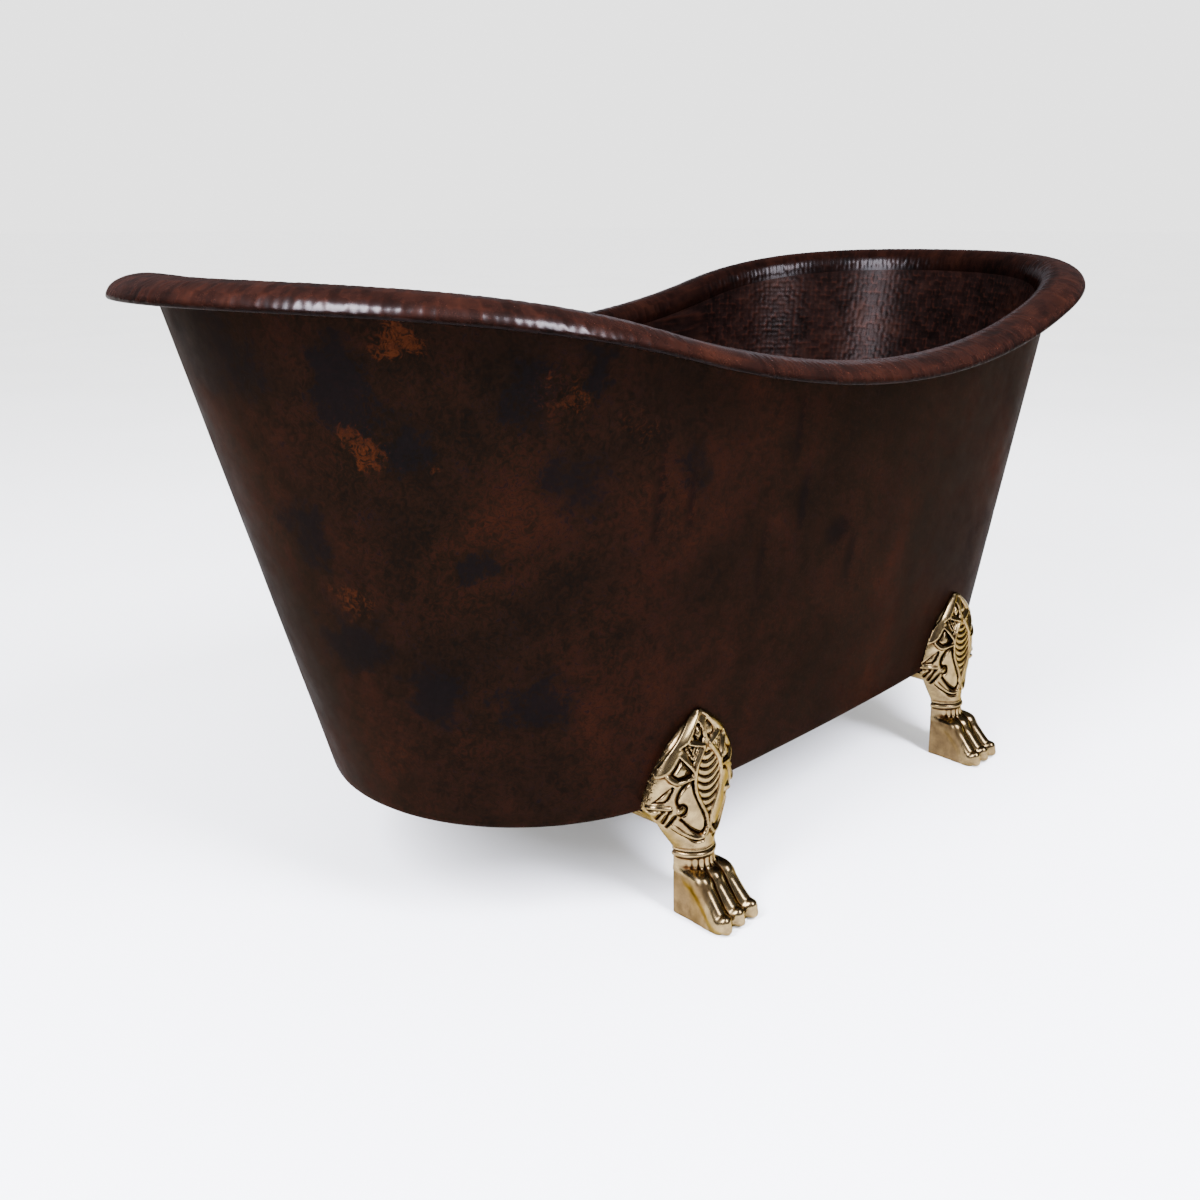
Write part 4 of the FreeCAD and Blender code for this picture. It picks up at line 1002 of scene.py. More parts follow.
    def beat(self, piece: bpy.types.Object, finish: bpy.types.Material, **sizes: float) -> None:
        """Run the tree on a piece and keep the plain mesh.

        Args:
            piece: Sheet with the attributes "spread" (metres along the sheet) and "strike".
            finish: Material that the tree sets.
            sizes: pitch, depth, wave_length and wave_depth in millimetres, and a seed.
        """
        modifier = piece.modifiers.new(self.name, "NODES")
        modifier.node_group = self.tree
        values = {
            "Dimple Pitch": sizes["pitch"] * MM,
            "Dimple Depth": sizes["depth"] * MM,
            "Wave Length": sizes["wave_length"] * MM,
            "Wave Depth": sizes["wave_depth"] * MM,
            "Seed": sizes["seed"],
            "Finish": finish,
        }
        for label, value in values.items():
            modifier[self.inputs[label]] = value
        graph = bpy.context.evaluated_depsgraph_get()
        mesh = bpy.data.meshes.new_from_object(piece.evaluated_get(graph), depsgraph=graph)
        piece.modifiers.remove(modifier)
        piece.data = mesh
        mesh.name = piece.name


def spread_of(grid: np.ndarray, ends_at_zero: bool = False) -> np.ndarray:
    """Distances along a grid of points, in metres, for patterns that follow the sheet.

    Args:
        grid: Points as rows along the section, columns along the sweep, in millimetres.
        ends_at_zero: Count the sweep up to zero at its last column, not from zero at its first.

    Returns:
        For each point its way along the sweep, its way along the section and zero. The way along
        the sweep is measured on the row a third of the way along the section.
    """
    third = grid[grid.shape[0] // 3]
    along = np.concatenate([[0.0], np.cumsum(np.linalg.norm(np.diff(third, axis=0), axis=1))])
    steps = np.linalg.norm(np.diff(grid, axis=0), axis=2)
    flat = np.zeros(grid.shape)
    flat[..., 0] = along[None, :] - (along[-1] if ends_at_zero else 0.0)
    flat[1:, :, 1] = np.cumsum(steps, axis=0)
    return flat.reshape(-1, 3) * MM


def half_strike(
    end: End, rows: int, columns: int, shown: int, fade_rows: int, fade_columns: int,
) -> np.ndarray:
    """How hard each point of a half sheet is struck.

    Args:
        end: Which half it is.
        rows: Points along the section.
        columns: Stations along the sweep.
        shown: Number of rows on the struck face.
        fade_rows: Rows over which the blows fade at the joint with the next sheet.
        fade_columns: Stations over which the blows fade at the far joint of the halves.

    Returns:
        Values from zero to one for each point.
    """
    strike = np.zeros((rows, columns))
    strike[:shown] = 1.0
    strike[:fade_rows] *= np.linspace(0.0, 1.0, fade_rows)[:, None]
    fade = np.linspace(0.0, 1.0, fade_columns)
    if end is End.LEFT:
        strike[:, :fade_columns] *= fade
    else:
        strike[:, -fade_columns:] *= fade[::-1]
    return strike.ravel()


@dataclass
class OuterSkin:
    """The smooth outer wall with its rounded bottom edge and underside."""

    form: TubForm
    finish: bpy.types.Material
    tree: SheetTree
    bottom: float = 158.0
    edge_radius: float = 10.0
    tuck: float = 21.0
    columns: int = 480
    wall_rows: int = 64
    edge_rows: int = 7
    floor_rows: int = 16
    back_wall_rows: int = 8
    back_edge_rows: int = 4
    back_floor_rows: int = 4
    pitch: float = 30.0
    wave_length: float = 85.0
    wave_depth: float = 0.9

    def rows_of(self, inset: float, wall_rows: int, edge_rows: int, floor_rows: int) -> list[np.ndarray]:
        """Rows of points of one face of the sheet, from the drain hole out and up to the rim.

        Args:
            inset: Depth of the face inside the sheet.
            wall_rows: Rows up the wall.
            edge_rows: Rows round the bottom edge.
            floor_rows: Rows across the underside.

        Returns:
            Rows of points.
        """
        form = self.form
        angle = form.around(self.columns, 0.0, FULL_TURN)
        wall = form.bowl_rows(
            angle, inset, self.bottom + inset, self.edge_radius - inset, form.edge(angle, 0.0, self.tuck),
            edge_rows, wall_rows,
        )
        parts = np.linspace(0.0, 1.0, floor_rows, endpoint=False)
        return form.floor_rows(wall[0], form.drain_hole + inset, parts) + wall

    def build(self) -> None:
        """Make the skin as one closed sheet, with waves but no dimples."""
        rows = self.rows_of(0.0, self.wall_rows, self.edge_rows, self.floor_rows)
        back = self.rows_of(self.form.sheet, self.back_wall_rows, self.back_edge_rows, self.back_floor_rows)
        grid = np.array(rows + back[::-1])
        piece = make_piece(
            "outer_skin", grid.reshape(-1, 3), swept_faces(len(grid), self.columns, True),
            {"spread": spread_of(grid), "strike": np.ones(grid[..., 0].size)},
        )
        self.tree.beat(
            piece, self.finish, pitch=self.pitch, depth=0.0,
            wave_length=self.wave_length, wave_depth=self.wave_depth, seed=SEED,
        )
        fit_out(piece, Body.TUB, ["outer_wall_left", "outer_wall_right", "lower_floor"])


def half_angles(form: TubForm, end: End, count: int) -> np.ndarray:
    """Facing angles of one half of the tub, from one long side's middle round the end to the other."""
    start = QUARTER_TURN if end is End.LEFT else -QUARTER_TURN
    return form.around(count, start, HALF_TURN)


def quarter_angles(form: TubForm, end: End, side: Side, count: int) -> np.ndarray:
    """Facing angles of one quarter of the tub, in the direction in which angles grow.

    Args:
        form: The tub's form.
        end: End of the tub in which the quarter lies.
        side: Side of the tub on which it lies.
        count: Number of angles.

    Returns:
        The angles.
    """
    first = 0.0 if end is End.RIGHT else HALF_TURN
    start = first - QUARTER_TURN if (end is End.RIGHT) == (side is Side.FRONT) else first
    return form.around(count, start, QUARTER_TURN)


@dataclass
class BasinSkin:
    """The hammered basin: four wall quarters with their cove, and the floor."""

    form: TubForm
    finish: bpy.types.Material
    tree: SheetTree
    floor: float = 205.6
    cove_radius: float = 58.4
    skirt_drop: float = 14.0
    columns: int = 350
    wall_rows: int = 205
    cove_rows: int = 26
    back_step: int = 8
    fade_rows: int = 4
    floor_columns: int = 420
    floor_rows: int = 80
    back_floor_rows: int = 6
    pitch: float = 9.0
    depth: float = 0.5
    wave_length: float = 70.0
    wall_wave: float = 0.3
    floor_wave: float = 0.4

    def face_rows(self, angle: np.ndarray, depth: float) -> list[np.ndarray]:
        """Rows of one face of the sheet, from the floor's edge round the cove up to the rim's skirt.

        Args:
            angle: Directions that the wall faces.
            depth: Depth of the face behind the basin's own face.

        Returns:
            Rows of points.
        """
        form = self.form
        return form.bowl_rows(
            angle, form.spacing - depth, self.floor - depth, self.cove_radius + depth,
            form.edge(angle, form.spacing, -self.skirt_drop), self.cove_rows, self.wall_rows,
        )

    def build_quarter(self, end: End, side: Side) -> None:
        """Make one quarter of the basin wall.

        Args:
            end: Which end of the tub it is at.
            side: Which side of the tub it is on.
        """
        angle = quarter_angles(self.form, end, side, self.columns)
        face = self.face_rows(angle, 0.0)
        back = self.face_rows(angle, self.form.sheet)
        grid = np.array(face + back[::-1][::self.back_step] + back[:1])
        strike = np.zeros(grid.shape[:2])
        strike[:len(face)] = 1.0
        strike[len(face) - self.fade_rows:len(face)] *= np.linspace(1.0, 0.0, self.fade_rows)[:, None]
        backwards = (end is End.LEFT) == (side is Side.FRONT)
        piece = make_piece(
            f"basin_skin_{side.name.lower()}_{end.name.lower()}", grid.reshape(-1, 3),
            swept_faces(len(grid), self.columns, False),
            {"spread": spread_of(grid, backwards), "strike": strike.ravel()},
        )
        self.hammer(piece, self.wall_wave)
        fit_out(piece, Body.TUB, [f"basin_wall_{end.name.lower()}"])

    def build_floor(self) -> None:
        """Make the hammered floor inside the cove, with its drain hole."""
        form = self.form
        angle = form.around(self.floor_columns, 0.0, FULL_TURN)
        face_parts = np.linspace(0.0, 1.0, self.floor_rows)
        back_parts = np.linspace(1.0, 0.0, self.back_floor_rows)
        rows = []
        for depth, parts in ((0.0, face_parts), (form.sheet, back_parts)):
            rows += form.floor_rows(self.face_rows(angle, depth)[0], form.drain_hole, parts)
        grid = np.array(rows)
        strike = np.zeros(grid.shape[:2])
        strike[1:self.floor_rows] = 1.0
        piece = make_piece(
            "basin_floor_skin", grid.reshape(-1, 3), swept_faces(len(rows), self.floor_columns, True),
            {"spread": grid.reshape(-1, 3) * MM, "strike": strike.ravel()},
        )
        self.hammer(piece, self.floor_wave)
        fit_out(piece, Body.TUB, ["basin_floor"])

    def hammer(self, piece: bpy.types.Object, wave: float) -> None:
        """Beat a sheet of the basin, with waves of some depth."""
        self.tree.beat(
            piece, self.finish, pitch=self.pitch, depth=self.depth,
            wave_length=self.wave_length, wave_depth=wave, seed=SEED,
        )

    def build(self) -> None:
        """Make the floor and the four quarters of the wall."""
        self.build_floor()
        for end in End:
            for side in Side:
                self.build_quarter(end, side)


@dataclass
class RimRoll:
    """The rolled rim in two halves: skirt, hammered dome, folded hem and hollow underside."""

    form: TubForm
    finish: bpy.types.Material
    tree: SheetTree
    crest_rise: float = 25.0
    crest_offset: float = 8.0
    hem: float = 5.0
    skirt_drop: float = 14.0
    columns: int = 900
    skirt_points: int = 8
    face_points: int = 24
    dome_points: int = 28
    bead_points: int = 9
    under_points: int = 12
    # Painted shade on the rolled edge: its strength on the inner face at the skirt, how it fades towards
    # the crest, and the rows by the lip over which it grows
    inner_painted_shade: float = 0.85
    inner_shade_power: float = 0.6
    lip_rows: int = 6
    back_skirt_points: int = 4
    fade_rows: int = 5
    fade_columns: int = 8
    pitch: float = 9.5
    depth: float = 0.6
    wave_length: float = 60.0
    wave_depth: float = 0.2
    seed: int = 3 * SEED
    across_share: float = 0.55

    def section(self, slope: float, drop: float) -> tuple[np.ndarray, int]:
        """Closed outline of the rim where the wall has some slope.

        Args:
            slope: Outward run of the wall for each unit of height.
            drop: Depth of the skirt below the rim line.

        Returns:
            Pairs of reach beyond the wall and height over the rim line, and how many show.
        """
        form = self.form
        lean = math.atan(slope)
        rise = self.crest_rise
        crest = self.crest_offset
        lip = form.overhang
        radius = ((crest + form.spacing) * math.cos(lean) - rise * math.sin(lean)) / (1 - math.sin(lean))
        middle = np.array([crest, rise - radius])

        def face(depth: float, count: int) -> np.ndarray:
            """Points from the wall up to the crest, some depth inside the sheet."""
            turn = np.linspace(HALF_TURN - lean, QUARTER_TURN, count, endpoint=False)
            return middle + (radius - depth) * np.column_stack([np.cos(turn), np.sin(turn)])

        def skirt(depth: float, count: int, top: float) -> np.ndarray:
            """Points up the skirt, some depth inside the sheet."""
            height = np.linspace(-drop, top, count, endpoint=False)
            return np.column_stack([height * slope - form.spacing + depth / math.cos(lean), height])

        def dome(depth: float, count: int, stop: float) -> np.ndarray:
            """Points from the crest out to the lip, some depth inside the sheet."""
            turn = np.linspace(QUARTER_TURN, stop, count)
            outward = crest + (lip - crest - depth) * np.cos(turn)
            return np.column_stack([outward, (rise - depth) * np.sin(turn)])

        top = middle[1] + radius * math.sin(HALF_TURN - lean)
        shown = [
            skirt(0.0, self.skirt_points, top),
            face(0.0, self.face_points),
            dome(0.0, self.dome_points, 0.0),
        ]
        turn = np.linspace(0.0, -HALF_TURN, self.bead_points + 1)[1:]
        half = self.hem / 2
        bead = np.column_stack([lip - half + half * np.cos(turn), half * np.sin(turn)])
        shoulder = math.acos((lip - self.hem - crest) / (lip - crest - form.sheet))
        hidden = [
            bead,
            dome(form.sheet, self.under_points, shoulder)[::-1],
            face(form.sheet, self.under_points)[::-1],
            skirt(form.sheet, self.back_skirt_points, top)[::-1],
        ]
        return np.concatenate(shown + hidden), sum(len(part) for part in shown)

    def build_half(self, end: End) -> None:
        """Make one half of the rim.

        Args:
            end: Which half to make.
        """
        form = self.form
        angle = half_angles(form, end, self.columns)
        height = form.edge(angle)
        foot = form.point(angle, height)
        slope = form.slope(angle, height)
        drop = height - form.edge(angle, form.spacing, -self.skirt_drop)
        outlines = [self.section(s, d) for s, d in zip(slope, drop)]
        shown = outlines[0][1]
        section = np.array([outline for outline, _ in outlines])
        normal = np.column_stack([np.cos(angle), np.sin(angle)])
        grid = np.empty((section.shape[1], len(angle), 3))
        grid[..., :2] = foot[None, :, :2] + section[..., 0].T[..., None] * normal[None]
        grid[..., 2] = foot[None, :, 2] + section[..., 1].T
        rows = grid.shape[0]
        strike = half_strike(end, rows, self.columns, shown, self.fade_rows, self.fade_columns)
        # Painted shade for the material: full on the hem and the hidden underside, fading from the skirt up
        # the inner face to the crest, and growing over the dome's last rows by the lip.
        under = np.zeros((rows, self.columns))
        under[shown:] = 1.0
        inner = self.skirt_points + self.face_points
        under[:inner] = np.linspace(self.inner_painted_shade, 0.0, inner)[:, None] ** self.inner_shade_power
        under[shown - self.lip_rows:shown] = np.linspace(0.0, 1.0, self.lip_rows)[:, None]
        spread = spread_of(grid, end is End.LEFT) * (1.0, self.across_share, 1.0)
        piece = make_piece(
            f"rim_roll_{end.name.lower()}", grid.reshape(-1, 3), swept_faces(rows, self.columns, False),
            {"spread": spread, "strike": strike, "under": under.ravel()},
        )
        self.tree.beat(
            piece, self.finish, pitch=self.pitch, depth=self.depth,
            wave_length=self.wave_length, wave_depth=self.wave_depth, seed=self.seed,
        )
        fit_out(piece, Body.TUB, [f"rim_{end.name.lower()}"])

    def build(self) -> None:
        """Make both halves."""
        for end in End:
            self.build_half(end)


def smooth_profile(heights: np.ndarray, knots: Sequence[tuple[float, float]], soften: float) -> np.ndarray:
    """A soft curve along given sizes.

    Args:
        heights: Evenly spaced heights at which the size is wanted.
        knots: Pairs of height and size.
        soften: Length over which corners are rounded.

    Returns:
        The size at each height.
    """
    step = heights[1] - heights[0]
    reach = int(BELL_REACH * soften / step)
    padded = np.arange(-reach, len(heights) + reach) * step + heights[0]
    sizes = np.interp(padded, [k[0] for k in knots], [k[1] for k in knots])
    bell = np.exp(-0.5 * (np.arange(-reach, reach + 1) * step / soften) ** 2)
    return np.convolve(sizes, bell / bell.sum(), mode="valid")


def soft_union(first: np.ndarray, second: np.ndarray, blend: float) -> np.ndarray:
    """Join two distance fields with a fillet of about the blend's size."""
    share = np.clip(0.5 + 0.5 * (second - first) / blend, 0.0, 1.0)
    return second + (first - second) * share - blend * share * (1.0 - share)


def soft_cut(first: np.ndarray, second: np.ndarray, blend: float) -> np.ndarray:
    """Keep what two distance fields share, with an edge rounded by about the blend's size."""
    return -soft_union(-first, -second, blend)


def curve_through(points: Sequence[tuple[float, float]], steps: int = 6) -> np.ndarray:
    """A Catmull-Rom curve through points.

    Args:
        points: Places to pass through.
        steps: Short runs for each span.

    Returns:
        Points along the curve.
    """
    p = np.array(points, float)
    if len(p) < 3:
        return p
    p = np.vstack([2 * p[0] - p[1], p, 2 * p[-1] - p[-2]])
    way = np.linspace(0.0, 1.0, steps, endpoint=False)[:, None]
    spans = []
    for a, b, c, d in zip(p, p[1:], p[2:], p[3:]):
        square = (2 * a - 5 * b + 4 * c - d) * way**2
        cube = (3 * b - a - 3 * c + d) * way**3
        spans.append(0.5 * (2 * b + (c - a) * way + square + cube))
    return np.vstack(spans + [p[-2:-1]])


def line_distance(x: np.ndarray, y: np.ndarray, path: np.ndarray) -> np.ndarray:
    """Distance from places on a map to a line of short runs.

    Args:
        x: Places along the map.
        y: Places up the map.
        path: Points of the line.

    Returns:
        The distance of each place.
    """
    nearest = np.full(x.shape, np.inf)
    for (ax, ay), (bx, by) in zip(path, path[1:]):
        dx = bx - ax
        dy = by - ay
        along = np.clip(((x - ax) * dx + (y - ay) * dy) / (dx * dx + dy * dy + TINY), 0.0, 1.0)
        nearest = np.minimum(nearest, np.hypot(x - ax - along * dx, y - ay - along * dy))
    return nearest


def patch_distance(x: np.ndarray, y: np.ndarray, path: np.ndarray) -> np.ndarray:
    """Signed distance from places on a map to a closed outline.

    Args:
        x: Places along the map.
        y: Places up the map.
        path: Points of the outline, the first one not repeated.

    Returns:
        The distance of each place, negative inside.
    """
    ring = np.vstack([path, path[:1]])
    inside = np.zeros(x.shape, bool)
    for (ax, ay), (bx, by) in zip(ring, ring[1:]):
        crosses = (ay > y) != (by > y)
        inside ^= crosses & (x < (bx - ax) * (y - ay) / (by - ay + TINY) + ax)
    return np.where(inside, -1.0, 1.0) * line_distance(x, y, ring)


def soft_step(distance: np.ndarray, edge: float) -> np.ndarray:
    """One inside a patch, zero outside, with a soft edge."""
    part = np.clip(0.5 - distance / (2 * edge), 0.0, 1.0)
    return part * part * (3 - 2 * part)


def fade_in(value: np.ndarray, start: float, length: float) -> np.ndarray:
    """Zero at a start and one a length beyond it; a negative length lies before the start."""
    return np.clip((value - start) / length, 0.0, 1.0)


@dataclass
class ClawFoot:
    """A cast claw foot: a half-round leaf with carved scrolls, an ankle bead and a three-toed paw.

    The foot is shaped as a distance field in its own frame, across, outward from the tub's middle
    and up, and then skinned. Places on the leaf are given in degrees from its front line and height.
    """

    form: TubForm
    finish: bpy.types.Material
    place: float = 328.0
    voxel: float = 1.3
    tub_bottom: float = 158.0
    gap: float = 0.3
    heel: float = 299.0
    heel_top: float = 143.7
    lug_half_width: float = 46.0
    lug_middle: float = 266.0
    lug_half_depth: float = 33.0
    lug_height: float = 150.7
    lug_half_thickness: float = 7.0

    # The leg and its leaf, by height
    half_widths: tuple = (
        (70, 29), (96, 31), (130, 55), (165, 77), (180, 78), (212, 70), (254, 47), (274, 23), (286, 3),
    )
    fronts: tuple = (
        (70, 333), (96, 335), (130, 335), (168, 336), (210, 335), (252, 330), (274, 324), (286, 317),
    )
    width_soften: float = 5.0
    front_soften: float = 7.0
    leg_span: tuple = (60.0, 300.0, 0.5)
    least_width: float = 0.5
    least_depth: float = 1.0
    wall_foot: float = 160.0
    leg_middle: float = 305.0
    leaf_low: float = 80.0
    leaf_top: float = 287.0

    # The ankle's band, thin bead and fluted cuff
    ankle: float = 89.0
    band_radius: float = 4.2
    band_sunk: float = 3.0
    bead_rise: float = 7.0
    bead_radius: float = 1.6
    bead_sunk: float = 2.0
    cuff_low: float = 65.0
    cuff_length: float = 24.0
    cuff_proud: float = 1.0
    cuff_flare: float = 2.0
    flute_depth: float = 3.4
    flutes_per_half_turn: float = 11.0
    flutes_full_turn: float = 0.6
    flutes_fade_turn: float = 0.5

    # The carving, in degrees and heights
    ridges: tuple = (
        ((51, 239), (34, 227), (23, 215), (19, 206)),
        ((6, 240), (13, 229), (19, 214), (19, 190), (13, 169), (5, 147), (2, 131)),
        ((61, 213), (52, 207), (43, 203), (32, 204), (21, 205)),
        ((58, 142), (46, 128), (30, 117), (12, 116), (2, 127)),
        ((33, 250), (20, 246), (6, 242)),
        ((92, 171), (70, 172), (50, 170)),
    )
    grooves: tuple = (
        ((23, 201), (34, 197), (42, 187), (44, 176), (40, 170), (35, 170), (31, 164), (34, 157), (40, 155)),
        ((42, 149), (38, 140), (30, 129), (18, 122), (7, 127), (5, 141), (11, 160), (19, 184), (22, 198)),
        ((54, 136), (44, 123), (30, 112), (14, 111)),
        ((72, 145), (57, 161)),
        ((68, 139), (48, 155)),
        ((80, 152), (66, 164)),
        ((90, 166), (70, 167), (52, 165)),
    )
    recesses: tuple = (
        ((51, 246), (39, 248), (12, 243), (25, 222)),
        ((49, 235), (24, 212), (27, 206), (44, 206), (60, 214)),
        ((27, 271), (31, 258), (27, 253), (9, 247), (4, 252), (6, 263), (16, 271)),
        ((82, 178), (66, 191), (53, 199), (49, 198), (54, 184), (60, 178)),
    )
    bosses: tuple = (
        ((46, 228), (34, 217), (36, 210), (46, 209), (54, 214)),
        ((23, 267), (27, 259), (17, 252), (9, 256), (12, 265)),
        ((76, 180), (64, 190), (55, 195), (58, 185), (62, 180)),
    )
    fine_ridges: tuple = (
        ((43, 245), (34, 236), (26, 228)),
        ((36, 246), (29, 239), (25, 234)),
        ((17, 242), (21, 233), (25, 228)),
        ((23, 244), (25, 239), (27, 236)),
    )
    plate: tuple = (
        (100, 211), (80, 212), (66, 215), (54, 222), (49, 234), (48, 247),
        (36, 252), (32, 262), (26, 274), (10, 283), (40, 295), (110, 290),
    )
    curl: tuple = (39, 163)
    lens: tuple = ((0, 238), (9, 228), (16, 212), (16, 190), (10, 168), (3, 148), (0, 140))
    map_low: float = 92.0
    map_high: float = 292.0
    map_turn: float = 112.0
    map_step: float = 0.7
    carving_reach: float = 12.0
    plate_height: float = 2.4
    plate_edge: float = 1.0
    recess_depth: float = 4.4
    recess_edge: float = 0.9
    boss_height: float = 4.6
    boss_edge: float = 4.0
    lens_edge: float = 1.2
    rib_pitch: float = 10.5
    rib_depth: float = 3.6
    rib_bow: float = 0.02
    rib_fullness: float = 1.6
    groove_depth: float = 4.2
    groove_half: float = 2.8
    ridge_height: float = 2.4
    ridge_half: float = 2.7
    fine_ridge_height: float = -1.4
    fine_ridge_half: float = 1.5
    curl_radius: float = 4.6
    curl_sunk: float = 1.6
    knurl_height: float = 0.9
    knurl_waves: tuple = (2.1, 1.7)
    knurl_start: float = 78.0
    knurl_fade: float = 8.0
    carving_start: float = 100.0
    carving_fade: float = 8.0
    tip_fade: float = 6.0

    # The paw's wedge, toes and claws, by place outward and height
    wedge_edge: tuple = (345.0, 62.0)
    wedge_slope: float = 0.58
    wedge_half_width: float = 33.0
    wedge_taper: float = 0.05
    wedge_top: float = 70.0
    wedge_round: float = 9.0
    wedge_top_round: float = 10.0
    hollow_depth: float = 3.0
    hollow_middle: tuple = (326.0, 30.0)
    hollow_reach: tuple = (17.0, 24.0)
    toes: tuple = (-26.5, 0.0, 26.5)
    toe_root: float = 330.0
    toe_length: float = 55.0
    toe_gather: float = 0.8
    toe_path: tuple = (
        (326, 57, 11.5), (341, 53, 13), (354, 40, 12.2), (365, 27.5, 12), (374, 17, 13), (379, 14.5, 13),
    )
    toe_balls: tuple = ((345, 57, 10), (387, 20, 7), (390, 9, 6))
    toe_steps: int = 4
    ball_blend: float = 6.0
    toe_blend: float = 2.5
    paw_blend: float = 6.0
    cuff_blend: float = 2.0
    leg_blend: float = 4.0

    # The skin: its box, evening passes and tarnish
    box_half_width: float = 90.0
    box_out: tuple = (226.0, 400.0)
    box_up: tuple = (-2.6, 292.0)
    even_shares: tuple = (0.5, -0.52)
    hollow_passes: int = 14
    hollow_share: float = 0.7
    hollow_full: float = 1.1
    flank_tarnish: float = 0.17
    flank_start: float = 22.0
    flank_fade: float = 4.0
    flank_top: float = 66.0
    flank_top_fade: float = 6.0
    flank_front: float = 368.0
    flank_front_fade: float = 10.0

    def sections(self, height: np.ndarray) -> tuple[np.ndarray, ...]:
        """Sizes of the leg.

        Args:
            height: Heights at which they are wanted.

        Returns:
            Half widths, and the places of its back and its front.
        """
        fine = np.arange(*self.leg_span)
        width = np.interp(height, fine, smooth_profile(fine, self.half_widths, self.width_soften))
        front = np.interp(height, fine, smooth_profile(fine, self.fronts, self.front_soften))
        wall = -self.wall(np.full(np.shape(height), -self.place), np.maximum(height, self.wall_foot))
        return np.maximum(width, self.least_width), wall, front

    def wall(self, x: np.ndarray, z: np.ndarray) -> np.ndarray:
        """Place across the tub of its near outer wall.

        Args:
            x: Places along the tub.
            z: Heights.

        Returns:
            The wall's places across the tub.
        """
        across, drop, end, side = self.form.oval(z)
        away = np.abs(x)
        turn = np.arctan2(drop, across)
        flank = np.sqrt(np.maximum(side**2 - away**2, 0.0)) - drop
        nose = np.sqrt(np.maximum(end**2 - (away - across) ** 2, 0.0))
        return -np.where(away <= across + end * np.cos(turn), flank, nose)

    def relief(self) -> tuple[np.ndarray, np.ndarray, np.ndarray]:
        """Height of the carving over the leaf.

        Returns:
            The map's heights, its angles in degrees, and the relief in millimetres.
        """
        z = np.arange(self.map_low, self.map_high, self.map_step)
        degrees = np.arange(0.0, self.map_turn, self.map_step)
        width, back, front = self.sections(z)
        depth = np.maximum(front - back, self.least_depth)
        theta = np.radians(degrees)
        radius = np.hypot(width[:, None] * np.cos(theta)[None], depth[:, None] * np.sin(theta)[None])
        arc = np.cumsum(radius, axis=1) * (theta[1] - theta[0])
        arc -= arc[:, :1]
        level = np.repeat(z[:, None], len(degrees), 1)

        def on_map(points: Sequence[tuple[float, float]]) -> np.ndarray:
            """Turn degrees and height into distances on the map."""
            rows = np.clip(np.searchsorted(z, [p[1] for p in points]), 0, len(z) - 1)
            return np.array([(np.interp(p[0], degrees, arc[r]), p[1]) for p, r in zip(points, rows)])

        def cover(points: Sequence[tuple[float, float]], edge: float) -> np.ndarray:
            """One inside an outline, zero outside it."""
            return soft_step(patch_distance(arc, level, on_map(points)), edge)

        def stroke(points: Sequence[tuple[float, float]]) -> np.ndarray:
            """Distance from a curved stroke."""
            return line_distance(arc, level, curve_through(on_map(points)))

        def round_top(away: np.ndarray, radius: float) -> np.ndarray:
            """Height of a half-round bar at distances from its middle line."""
            return radius * np.sqrt(np.maximum(1.0 - (away / radius) ** 2, 0.0))

        high = self.plate_height * cover(self.plate, self.plate_edge)
        for line in self.recesses:
            high -= self.recess_depth * cover(line, self.recess_edge)
        for line in self.bosses:
            high += self.boss_height * cover(line, self.boss_edge)
        bowl = cover(self.lens + tuple((-a, h) for a, h in self.lens[::-1]), self.lens_edge)
        ribs = 1.0 - 2.0 * np.abs(((level - self.rib_bow * arc**2) / self.rib_pitch) % 1.0 - 0.5)
        high += bowl * self.rib_depth * (np.sqrt(np.clip(self.rib_fullness * ribs, 0.0, 1.0)) - 1.0)
        for line in self.grooves:
            high -= self.groove_depth * np.exp(-((stroke(line) / self.groove_half) ** 2))
        for lines, height, half in (
            (self.ridges, self.ridge_height, self.ridge_half),
            (self.fine_ridges, self.fine_ridge_height, self.fine_ridge_half),
        ):
            for line in lines:
                away = stroke(line)
                crest = height - half + round_top(away, half)
                high = np.where(away < half, np.maximum(high, crest), high)
        spot = on_map((self.curl,))[0]
        away = np.hypot(arc - spot[0], level - spot[1])
        ball = round_top(away, self.curl_radius) - self.curl_sunk
        high = np.where(away < self.curl_radius, np.maximum(high, ball), high)
        upward, sideways = self.knurl_waves
        knurl = np.sin(level * upward) * np.sin(arc * sideways)
        high += self.knurl_height * knurl * fade_in(degrees[None, :], self.knurl_start, self.knurl_fade)
        fade = fade_in(z, self.carving_start, self.carving_fade) * fade_in(z, self.leaf_top, -self.tip_fade)
        return z, degrees, high * fade[:, None]

